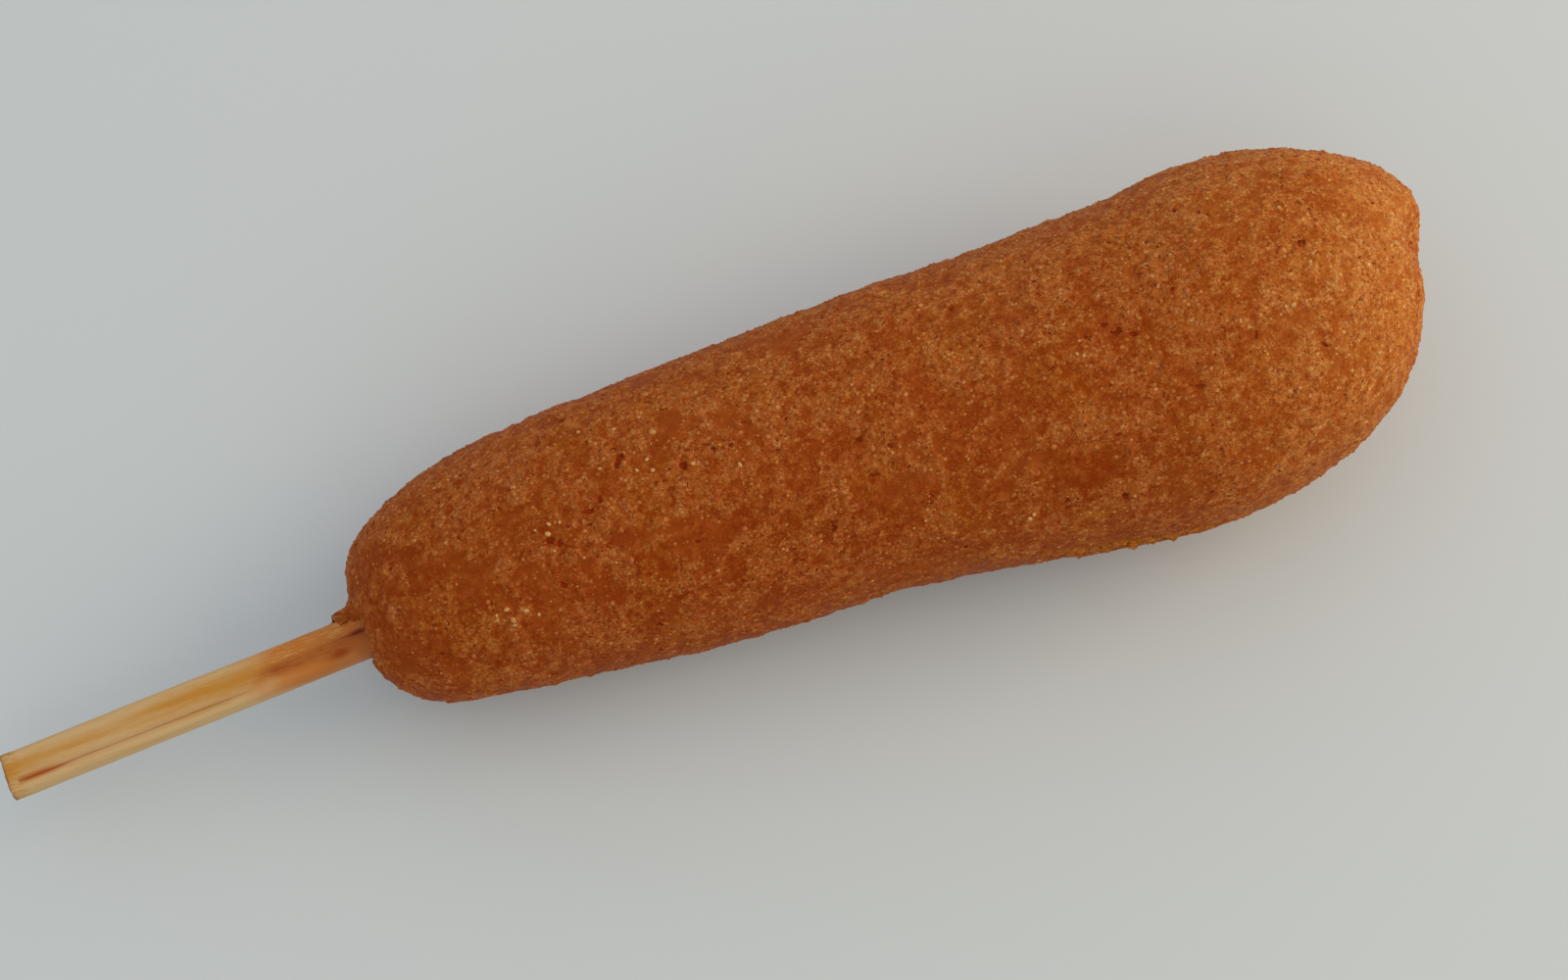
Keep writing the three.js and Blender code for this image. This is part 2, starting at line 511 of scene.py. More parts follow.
def soft_noise(points: np.ndarray, wavelength: float, octaves: int, layer: int) -> np.ndarray:
    """Smooth noise about 0 at each point.

    Args:
        points: One row for each point.
        wavelength: Size of the largest forms.
        octaves: Number of layers, each twice as fine as the one before.
        layer: A whole number that gives each use its own noise.

    Returns:
        One number for each point, mostly within -0.5 and 0.5.
    """
    shifted = points / wavelength + layer * 17.3
    return np.array([noise.fractal(point, 1.0, 2.0, octaves) for point in shifted.tolist()])


def smooth_step(values: np.ndarray, low: float, high: float) -> np.ndarray:
    """Rises smoothly from 0 at low to 1 at high."""
    part = np.clip((values - low) / (high - low), 0, 1)
    return part * part * (3 - 2 * part)


def fade(values: np.ndarray, full: float, gone: float) -> np.ndarray:
    """Falls smoothly from 1 at full to 0 at gone, the higher of the two."""
    return smooth_step(-values, -gone, -full)


# ---- Finishes -----------------------------------------------------------------------------------


@dataclass(frozen=True)
class Specks:
    """One size of grain in the skin: its width, how far it stands out, and its palest tops, brightened
    as painted highlights.
    """

    width: float
    lift: float
    lift_spread: float
    glint: float
    glint_from: float

    def add(
        self, graph: Graph, vector: bpy.types.NodeSocket, cover: Value
    ) -> tuple[Value, Value]:
        """Adds the grains to a graph.

        Args:
            graph: The graph.
            vector: The coordinates they follow.
            cover: Where more of them stand out.

        Returns:
            How far each place is lifted, and how much its painted highlight brightens it.
        """
        distance, luck, tone = graph.cells(self.width, vector)
        top = distance.step(0.75, 0.25)
        raised = (cover * 0.5 + luck).step(0.66, 0.95) * top
        # Painted highlight: the palest tops are brightened in the colour, partly pale cornmeal and
        # partly glints of oil.
        glint = tone.step(self.glint_from, self.glint_from + 0.05) * top * self.glint
        return raised * (self.lift + tone * self.lift_spread), glint


@dataclass(frozen=True)
class CrustFinish:
    """Fried batter: a deep glassy base that shows between the paler grains of cornmeal."""

    tones: tuple[Colour, ...] = (
        srgb(132, 45, 1), srgb(164, 77, 24), srgb(190, 109, 54), srgb(216, 142, 90),
    )
    amber_tones: tuple[Colour, ...] = (
        srgb(138, 53, 1), srgb(169, 85, 23), srgb(194, 116, 51), srgb(218, 148, 86),
    )
    tip_tones: tuple[Colour, ...] = (
        srgb(164, 74, 15), srgb(197, 115, 47), srgb(225, 155, 84), srgb(243, 188, 122),
    )
    pit: Colour = srgb(134, 36, 2)
    pore: Colour = srgb(108, 20, 0)
    crumb: Colour = srgb(206, 122, 36)
    roughness: float = 0.5
    specular: float = 0.03
    grains: Specks = Specks(width=0.46 * MM, lift=0.06, lift_spread=0.26, glint=0.18, glint_from=0.90)
    crumbs: Specks = Specks(width=0.27 * MM, lift=0.04, lift_spread=0.20, glint=0.14, glint_from=0.91)
    drift_width: float = 7.0 * MM
    patch_width: float = 1.5 * MM
    flake_width: float = 0.8 * MM
    pore_width: float = 0.55 * MM
    curl_width: float = 0.75 * MM
    crack_width: float = 0.9 * MM
    warp_width: float = 0.35 * MM
    warp_reach: float = 0.30 * MM
    base_tone: float = 0.13
    cover_tone: float = 0.14
    patch_tone: float = 0.25
    flake_tone: float = 0.32
    film_flake_tone: float = 0.5
    crack_tone: float = 0.14
    amber_share: float = 0.8
    pore_share: float = 0.92
    glaze_smoothness: float = 0.6
    lift_height: float = 0.25
    flake_height: float = 0.10
    hollow_depth: float = 0.08
    crack_depth: float = 0.02

    def build(self) -> bpy.types.Material:
        """Makes the material.

        Returns:
            A material that reads the attributes film, glaze, pit, tear, paleness and
            browning_and_shade.
        """
        graph = Graph("fried_batter")
        film, glaze, pit = (graph.attribute(name) for name in ("film", "glaze", "pit"))
        warp = graph.warped(self.warp_width, self.warp_reach)
        patch = graph.noise(self.patch_width, 2.0, 0.6) - 0.5
        flake = graph.noise(self.flake_width, 3.0, 0.75, warp) - 0.5
        curl = self._lines(graph, self.curl_width, 0.045)
        crack = self._lines(graph, self.crack_width, 0.04, warp)

        cover = (patch + flake * 0.9 + film * 0.35 - 0.17).step(-0.22, 0.22)
        grainy = 1 - glaze * self.glaze_smoothness
        pores = graph.noise(self.pore_width, 3.0, 0.65, warp).step(0.42, 0.32)
        pores *= (0.4 + cover * 0.6) * grainy
        hollow = (pit + flake * 1.3).step(0.45, 0.62)
        grain_lift, grain_glint = self.grains.add(graph, warp, cover)
        crumb_lift, crumb_glint = self.crumbs.add(graph, warp, cover)
        lift = grain_lift + crumb_lift + curl * (0.05 + cover * 0.10)

        flake_tone = flake * (self.flake_tone + film * self.film_flake_tone)
        # grain_glint and crumb_glint are painted highlights on the palest grain tops.
        tone = flake_tone + lift + grain_glint + crumb_glint - crack * self.crack_tone
        tone = tone * grainy + cover * self.cover_tone + patch * self.patch_tone + self.base_tone
        # browning_and_shade: the batter's browning patches, partly painted shade along the lower side
        # and painted light higher up.
        tone += graph.attribute("browning_and_shade")
        colour = self._fried(graph, tone, 1 - glaze)
        colour = graph.mix(graph.attribute("tear") * (0.5 + flake), colour, self.crumb)
        colour = graph.mix(hollow * (0.8 + flake), colour, self.pit)
        colour = graph.mix(pores * self.pore_share, colour, self.pore)

        height = (lift * self.lift_height + flake * self.flake_height) * grainy
        height -= hollow * self.hollow_depth + crack * self.crack_depth
        return graph.surface({
            "Base Color": colour,
            "Roughness": self.roughness + (tone - 0.4) * 0.3,
            "Specular IOR Level": self.specular,
            "Normal": graph.bump(height),
        })

    @staticmethod
    def _lines(
        graph: Graph, width: float, edge: float, vector: bpy.types.NodeSocket | None = None
    ) -> Value:
        """Fine winding lines: 1 on each and 0 beyond its edge."""
        return abs(graph.noise(width, 2.0, 0.6, vector) - 0.5).step(edge, 0.0)

    def _fried(self, graph: Graph, tone: Value, amber_room: Value) -> bpy.types.NodeSocket:
        """The batter's colour before its hollows.

        Args:
            graph: The graph.
            tone: The place on the ramps of colour.
            amber_room: Where the amber ramp may take over.

        Returns:
            The socket with the colour.
        """
        warm, amber = graph.ramp(tone, self.tones), graph.ramp(tone, self.amber_tones)
        drift = graph.noise(self.drift_width, 2.0, 0.5).step(0.46, 0.72)
        colour = graph.mix(drift * self.amber_share * amber_room, warm, amber)
        return graph.mix(graph.attribute("paleness"), colour, graph.ramp(tone, self.tip_tones))


@dataclass(frozen=True)
class GrainFinish:
    """Loose grains, each with a tone of its own."""

    name: str
    tones: tuple[Colour, ...]
    roughness: float = 0.5
    specular: float = 0.03
    mottle_width: float = 0.25 * MM
    mottle_tone: float = 0.3
    mottle_height: float = 0.03

    def build(self) -> bpy.types.Material:
        """Makes the material.

        Returns:
            A material that reads the attribute tone.
        """
        graph = Graph(self.name)
        mottle = graph.noise(self.mottle_width, 2.0) - 0.5
        tone = graph.attribute("tone") + mottle * self.mottle_tone
        return graph.surface({
            "Base Color": graph.ramp(tone, self.tones),
            "Roughness": self.roughness + mottle * 0.2,
            "Specular IOR Level": self.specular,
            "Normal": graph.bump(mottle * self.mottle_height),
        })


@dataclass(frozen=True)
class Stripe:
    """A soft stripe along the stick: its middle, and its outer and inner reach, in millimetres."""

    middle: float
    outer: float
    inner: float

    def share(self, side: Value) -> Value:
        """1 within the inner reach of the middle and 0 beyond the outer one."""
        return abs(side - self.middle).step(self.outer, self.inner)


@dataclass(frozen=True)
class WoodFinish:
    """Pale wood with its grain along the stick, soaked with oil next to the crust."""

    straw: Colour = srgb(206, 167, 116)
    honey: Colour = srgb(194, 132, 52)
    line: Colour = srgb(138, 88, 40)
    glow: Colour = srgb(176, 104, 44)
    resin: Colour = srgb(168, 74, 30)
    soaked: Colour = srgb(194, 114, 46)
    streak: Colour = srgb(158, 74, 22)
    pale_fibre_sheen: Colour = srgb(226, 168, 104)
    smear: Colour = srgb(160, 68, 8)
    batter: Colour = srgb(168, 88, 34)
    dark: Colour = srgb(112, 26, 2)
    band: Stripe = Stripe(middle=0.08, outer=1.7, inner=0.3)
    core: Stripe = Stripe(middle=0.10, outer=0.7, inner=0.15)
    broad_band: Stripe = Stripe(middle=-0.2, outer=2.4, inner=1.2)
    haze: Stripe = Stripe(middle=0.0, outer=0.75, inner=0.1)
    hairline: Stripe = Stripe(middle=0.0, outer=0.10, inner=0.04)
    resin_core: Stripe = Stripe(middle=-0.10, outer=0.21, inner=0.03)
    resin_halo: Stripe = Stripe(middle=-0.10, outer=0.55, inner=0.1)
    oily_middle: Stripe = Stripe(middle=-0.50, outer=1.3, inner=0.1)
    line_side: float = -1.38
    line_slant: float = 0.0115
    long_stretch: float = 30.0
    short_stretch: float = 9.0
    fibre_width: float = 0.30 * MM
    vein_width: float = 1.3 * MM
    stroke_width: float = 0.16 * MM
    blotch_width: float = 1.6 * MM
    wander_width: float = 7 * MM
    fibre_height: float = 0.05
    vein_height: float = 0.04
    line_depth: float = 0.06
    roughness: float = 0.62
    specular: float = 0.12

    def build(self) -> bpy.types.Material:
        """Makes the material.

        Returns:
            A material that reads the attributes along and side, in millimetres, soak, batter, smear
            and dark.
        """
        graph = Graph("stick_wood")
        long, short = graph.drawn_out(self.long_stretch), graph.drawn_out(self.short_stretch)
        fibre = graph.noise(self.fibre_width, 4.0, 0.6, long) - 0.5
        vein = graph.noise(self.vein_width, 2.0, 0.5, long) - 0.5
        stroke = graph.noise(self.stroke_width, 2.0, 0.6, short) - 0.5
        blotch = graph.noise(self.blotch_width, 3.0, 0.6, short) - 0.5
        wander = graph.noise(self.wander_width, 2.0, 0.5) - 0.5
        along, side, soak = (graph.attribute(name) for name in ("along", "side", "soak"))

        wandering = side + wander * 0.5
        tone = self.band.share(wandering) * (0.6 + along.step(6.0, 3.0) * 0.2)
        tone += self.core.share(wandering) * (0.1 + vein)
        tone += self.broad_band.share(side) * along.step(15.0, 21.0) * 0.35
        tone += fibre * 0.9 + vein * 0.9 + blotch * 0.6 + stroke * 0.7
        tone += along.step(2.4, 1.6) * (0.3 + stroke * 2.0)
        colour = graph.mix(tone, self.straw, self.honey)

        from_line = side - self.line_side + along * self.line_slant + wander * 0.12
        fading = along.step(31.0, 25.0) * along.step(1.2, 1.8)
        haze = self.haze.share(from_line) * fading * (0.3 + along.step(7.0, 4.0) * 0.6)
        colour = graph.mix(haze, colour, self.glow)
        line = self.hairline.share(from_line) * fading * (0.5 + vein * 1.5 + fibre)
        colour = graph.mix(line, colour, self.line)
        resin = self.resin_core.share(from_line) + self.resin_halo.share(from_line) * 0.3
        resin *= along.step(1.8, 2.5) * along.step(9.0, 6.0)
        colour = graph.mix(resin * (0.7 + blotch + fibre), colour, self.resin)
        colour = graph.mix(along.step(1.7, 0.4) * (0.2 + fibre), colour, self.glow)

        colour = graph.mix(soak * (0.9 + vein * 1.2 + fibre * 0.6), colour, self.soaked)
        middle = self.oily_middle.share(side) * soak.step(0.25, 0.8)
        colour = graph.mix(middle * (0.7 + stroke * 1.6 + blotch * 1.2), colour, self.streak)
        # Painted highlight on the oily upper side: pale streaks along the fibres, partly paler fibres.
        upper = side.step(0.0, 0.6) * soak.step(0.15, 0.5)
        colour = graph.mix(upper * stroke.step(0.03, 0.16) * 0.55, colour, self.pale_fibre_sheen)
        colour = graph.mix(graph.attribute("batter") * (0.8 + blotch), colour, self.batter)
        colour = graph.mix(graph.attribute("smear"), colour, self.smear)
        # dark: painted crevice shade, and the cut end darker.
        colour = graph.mix(graph.attribute("dark"), colour, self.dark)
        height = fibre * self.fibre_height + vein * self.vein_height - line * self.line_depth
        return graph.surface({
            "Base Color": colour,
            "Roughness": self.roughness - soak * 0.2 + fibre * 0.2,
            "Specular IOR Level": self.specular,
            "Normal": graph.bump(height),
        })


# ---- The crust ----------------------------------------------------------------------------------


@dataclass(frozen=True)
class Pit:
    """A hollow of the skin by its middle and size in the view's frame, and its turn in degrees."""

    column: float
    row: float
    length: float
    width: float
    turn: float = 0.0


PITS = (
    Pit(column=560, row=552, length=10, width=7),
    Pit(column=571, row=554, length=7, width=9),
    Pit(column=581, row=558, length=12, width=3, turn=-8),
    Pit(column=626, row=458, length=7, width=5),
    Pit(column=632, row=466, length=13, width=10, turn=-30),
    Pit(column=630, row=475, length=6, width=8),
    Pit(column=1328, row=248, length=11, width=9, turn=15),
    Pit(column=1127, row=331, length=7, width=5),
    Pit(column=1108, row=343, length=7, width=4),
    Pit(column=702, row=459, length=7, width=3),
    Pit(column=722, row=453, length=11, width=3),
    Pit(column=729, row=458, length=10, width=5, turn=-35),
    Pit(column=738, row=457, length=5, width=4),
    Pit(column=746, row=454, length=5, width=4),
    Pit(column=697, row=475, length=8, width=9),
    Pit(column=877, row=449, length=7, width=6),
    Pit(column=888, row=445, length=6, width=4),
    Pit(column=908, row=455, length=5, width=4),
    Pit(column=890, row=485, length=6, width=4),
    Pit(column=612, row=510, length=5, width=9),
    Pit(column=600, row=522, length=13, width=5),
    Pit(column=712, row=553, length=5, width=4),
    Pit(column=1139, row=337, length=11, width=7),
    Pit(column=1156, row=340, length=9, width=5),
    Pit(column=1162, row=279, length=8, width=4),
    Pit(column=1224, row=394, length=11, width=5),
    Pit(column=1282, row=342, length=4, width=9),
)
GASH = Pit(column=1115, row=526, length=26, width=8)


@dataclass(frozen=True)
class Dent:
    """A soft dip of the skin, or a rise where its depth is negative, by its middle in the frame."""

    column: float
    row: float
    reach: float
    depth: float


DENTS = (
    Dent(column=1440, row=211, reach=3.0 * MM, depth=-0.6 * MM),
    Dent(column=1444, row=245, reach=2.5 * MM, depth=1.15 * MM),
    Dent(column=1447, row=300, reach=3.0 * MM, depth=-0.4 * MM),
    Dent(column=1432, row=378, reach=7.0 * MM, depth=-0.45 * MM),
)


@dataclass(frozen=True)
class Hollow:
    """A hollow on the skin with a ragged outline, in metres."""

    place: np.ndarray
    normal: np.ndarray
    heading: np.ndarray
    length: float
    width: float
    corners: np.ndarray
    depth: float
    edge: ClassVar[float] = 0.45 * MM
    full_depth: ClassVar[float] = 0.3 * MM
    corner_count: ClassVar[int] = 8
    corner_reach: ClassVar[tuple[float, float]] = (0.6, 1.25)

    @classmethod
    def at(
        cls,
        place: np.ndarray,
        normal: np.ndarray,
        heading: np.ndarray,
        size: tuple[float, float],
        rng: np.random.Generator,
    ) -> "Hollow":
        """Lays a hollow on the skin.

        Args:
            place: Its middle.
            normal: The skin's normal there.
            heading: The direction of its length, as far as it lies in the skin.
            size: Its length and width.
            rng: Draws its outline.

        Returns:
            The hollow.
        """
        level = heading - normal * (heading @ normal)
        corners = rng.uniform(*cls.corner_reach, cls.corner_count)
        depth = cls.full_depth * min(1.0, min(size) / MM)
        return cls(place, normal, level / np.linalg.norm(level), *size, corners, depth)

    def reach(self) -> float:
        """How far from its middle it can be felt."""
        return self.length * 0.7 + self.edge

    def share(self, points: np.ndarray) -> np.ndarray:
        """How far inside the hollow each point is.

        Args:
            points: One row for each point.

        Returns:
            1 inside, one half on the outline and 0 outside.
        """
        offset = points - self.place
        ahead = offset @ self.heading / (self.length / 2)
        aside = offset @ np.cross(self.normal, self.heading) / (self.width / 2)
        angles = np.linspace(0, 2 * math.pi, len(self.corners), endpoint=False)
        outline = np.interp(np.arctan2(aside, ahead), angles, self.corners, period=2 * math.pi)
        inside = (outline - np.hypot(ahead, aside)) * min(self.length, self.width) / 2
        near = np.abs(offset @ self.normal) < self.reach()
        return np.clip(0.5 + inside / self.edge, 0, 1) * near


@dataclass(frozen=True)
class Film:
    """Where grainy skin covers the glassy batter: in patches, and more at the tip and far side."""

    broad_width: float = 4.5 * MM
    broad_weight: float = 0.6
    fine_width: float = 1.6 * MM
    fine_weight: float = 0.5
    base: float = 0.08
    far_side: float = 0.10
    far_reach: float = 18 * MM
    tip: float = 0.10
    tip_start: float = 0.55
    least: float = -0.25
    most: float = 0.3

    def share(self, points: np.ndarray) -> np.ndarray:
        """How much of the skin is grainy.

        Args:
            points: One row for each point.

        Returns:
            A share from 0 to 1 for each point.
        """
        patches = self.broad_weight * soft_noise(points, self.broad_width, 2, 3)
        patches += self.fine_weight * soft_noise(points, self.fine_width, 2, 4)
        tip = CAD_BOX[1].x
        bias = self.far_side * np.clip(points[:, 1] / self.far_reach, -1, 1)
        bias += self.tip * smooth_step(points[:, 0], tip * self.tip_start, tip)
        return smooth_step(patches + bias + self.base, self.least, self.most)


@dataclass(frozen=True)
class Paling:
    """Where the batter browned less, at the tip and a little on the stick; its far side is painted
    paler as painted light.
    """

    tip_start: float = 0.50
    tip_stop: float = 1.05
    tip_share: float = 0.6
    near_share: float = 0.4
    near_start: float = 6 * MM
    near_stop: float = 22 * MM
    uneven_share: float = 0.35
    uneven_width: float = 9 * MM
    slow_share: float = 0.14
    slow_reach: float = 50 * MM
    far_light_share: float = 0.13
    far_light_start: float = -4 * MM
    far_light_stop: float = 12 * MM
    lobe_share: float = 0.3
    lobe_start: float = 4 * MM
    lobe_stop: float = 6 * MM

    def share(self, points: np.ndarray) -> np.ndarray:
        """How much paler the batter is, with painted light on its far side.

        Args:
            points: One row for each point.

        Returns:
            A share from 0 to 1 for each point.
        """
        tip = CAD_BOX[1].x
        towards_tip = smooth_step(points[:, 0], tip * self.tip_start, tip * self.tip_stop)
        near_side = fade(points[:, 1], self.near_start, self.near_stop)
        uneven = self.uneven_share * soft_noise(points, self.uneven_width, 2, 5)
        slow = self.slow_share * smooth_step(points[:, 0], -self.slow_reach, self.slow_reach)
        # Painted light: the far side is painted paler.
        slow += self.far_light_share * smooth_step(points[:, 1], self.far_light_start, self.far_light_stop)
        lobe = self.lobe_share * fade(STICK_LINE.distance(points), self.lobe_start, self.lobe_stop)
        at_tip = towards_tip * (self.tip_share + self.near_share * near_side + uneven)
        return np.clip(at_tip + slow + lobe, 0, 1)


FILM = Film()
PALING = Paling()


@dataclass(frozen=True)
class BlushAndShade:
    """A soft patch of lighter or darker batter, partly its own browning and partly painted shade and
    light, by its middle and reach in the view's frame.
    """

    column: float
    row: float
    reach: float
    tone: float


# Partly the batter's own browning, partly painted shade and light: most darker patches lie along the
# lower side, most lighter ones higher up.
BLUSHES_AND_SHADE = (
    BlushAndShade(column=478, row=642, reach=26, tone=-0.10),
    BlushAndShade(column=665, row=592, reach=38, tone=-0.09),
    BlushAndShade(column=762, row=570, reach=40, tone=-0.09),
    BlushAndShade(column=832, row=542, reach=38, tone=-0.10),
    BlushAndShade(column=905, row=552, reach=36, tone=-0.08),
    BlushAndShade(column=1015, row=500, reach=32, tone=-0.07),
    BlushAndShade(column=1112, row=492, reach=40, tone=-0.13),
    BlushAndShade(column=1072, row=388, reach=22, tone=-0.11),
    BlushAndShade(column=900, row=362, reach=16, tone=-0.07),
    BlushAndShade(column=1240, row=455, reach=26, tone=-0.05),
    BlushAndShade(column=1160, row=330, reach=40, tone=-0.03),
    BlushAndShade(column=1308, row=236, reach=34, tone=-0.16),
    BlushAndShade(column=1324, row=186, reach=32, tone=-0.20),
    BlushAndShade(column=402, row=590, reach=36, tone=-0.05),
    BlushAndShade(column=770, row=625, reach=30, tone=-0.07),
    BlushAndShade(column=1372, row=262, reach=28, tone=0.12),
    BlushAndShade(column=1425, row=232, reach=34, tone=0.08),
    BlushAndShade(column=1322, row=325, reach=30, tone=0.06),
    BlushAndShade(column=1392, row=352, reach=24, tone=0.05),
    BlushAndShade(column=1215, row=205, reach=34, tone=0.04),
    BlushAndShade(column=1000, row=310, reach=40, tone=0.04),
    BlushAndShade(column=740, row=430, reach=34, tone=0.05),
    BlushAndShade(column=500, row=470, reach=34, tone=0.05),
)


@dataclass(frozen=True)
class Glaze:
    """A patch where the batter fried smooth and glassy, by its middle and reach in the frame."""

    column: float
    row: float
    reach: float


GLAZES = (
    Glaze(column=400, row=603, reach=11),
    Glaze(column=429, row=602, reach=13),
    Glaze(column=484, row=594, reach=22),
    Glaze(column=462, row=572, reach=14),
    Glaze(column=412, row=667, reach=18),
    Glaze(column=462, row=681, reach=15),
    Glaze(column=446, row=654, reach=12),
    Glaze(column=420, row=628, reach=10),
    Glaze(column=372, row=572, reach=11),
    Glaze(column=552, row=634, reach=13),
    Glaze(column=619, row=600, reach=18),
    Glaze(column=545, row=588, reach=14),
    Glaze(column=545, row=505, reach=10),
    Glaze(column=652, row=550, reach=13),
    Glaze(column=700, row=552, reach=17),
    Glaze(column=730, row=542, reach=16),
    Glaze(column=684, row=431, reach=15),
    Glaze(column=738, row=420, reach=11),
    Glaze(column=800, row=348, reach=16),
    Glaze(column=912, row=502, reach=14),
    Glaze(column=942, row=490, reach=13),
    Glaze(column=1022, row=496, reach=11),
    Glaze(column=1062, row=470, reach=10),
    Glaze(column=1112, row=486, reach=15),
)


@dataclass(frozen=True)
class BrowningAndShade:
    """The named patches where they lie on the skin: a place, a reach and any tone for each."""

    patches: tuple[tuple[np.ndarray, float, float], ...]
    glazes: tuple[tuple[np.ndarray, float], ...]
    glaze_core: float = 0.7
    glaze_edge: float = 1.25
    ragged_width: float = 1.8 * MM
    pale_grains: float = 0.35
    patchy_grains: float = 1.5

    @classmethod
    def on(cls, skin: bpy.types.Object, view: View) -> "BrowningAndShade":
        """Lays the named patches on the skin.

        Args:
            skin: The crust's skin.
            view: Whose frame the patches are placed in.

        Returns:
            The browning of that skin.
        """
        patches = tuple(
            (view.spot(skin, tone_patch.column, tone_patch.row)[0], view.span(tone_patch.reach), tone_patch.tone)
            for tone_patch in BLUSHES_AND_SHADE
        )
        glazes = tuple(
            (view.spot(skin, glaze.column, glaze.row)[0], view.span(glaze.reach)) for glaze in GLAZES
        )
        return cls(patches, glazes)

    def glaze(self, points: np.ndarray) -> np.ndarray:
        """How smooth the batter fried, in patches with ragged edges.

        Args:
            points: One row for each point.

        Returns:
            A share from 0 to 1 for each point.
        """
        share = np.zeros(len(points))
        ragged = 1 + soft_noise(points, self.ragged_width, 2, 14)
        for place, reach in self.glazes:
            distance = np.linalg.norm(points - place, axis=1) * ragged
            inside = fade(distance, self.glaze_core * reach, self.glaze_edge * reach)
            share = np.maximum(share, inside)
        return share

    def skin_tone(self, points: np.ndarray) -> np.ndarray:
        """How much lighter the skin is than around its patches, painted shade and light included.

        Args:
            points: One row for each point.

        Returns:
            A step of tone in the crust's finish for each point.
        """
        total = np.zeros(len(points))
        for place, reach, tone in self.patches:
            total += tone * np.exp(-((np.linalg.norm(points - place, axis=1) / reach) ** 2))
        return total

    def grain_tone(self, points: np.ndarray) -> np.ndarray:
        """How much lighter than most the grains at each point are, in the tone of their finish, painted
        shade and light included.
        """
        return self.pale_grains * PALING.share(points) + self.patchy_grains * self.skin_tone(points)


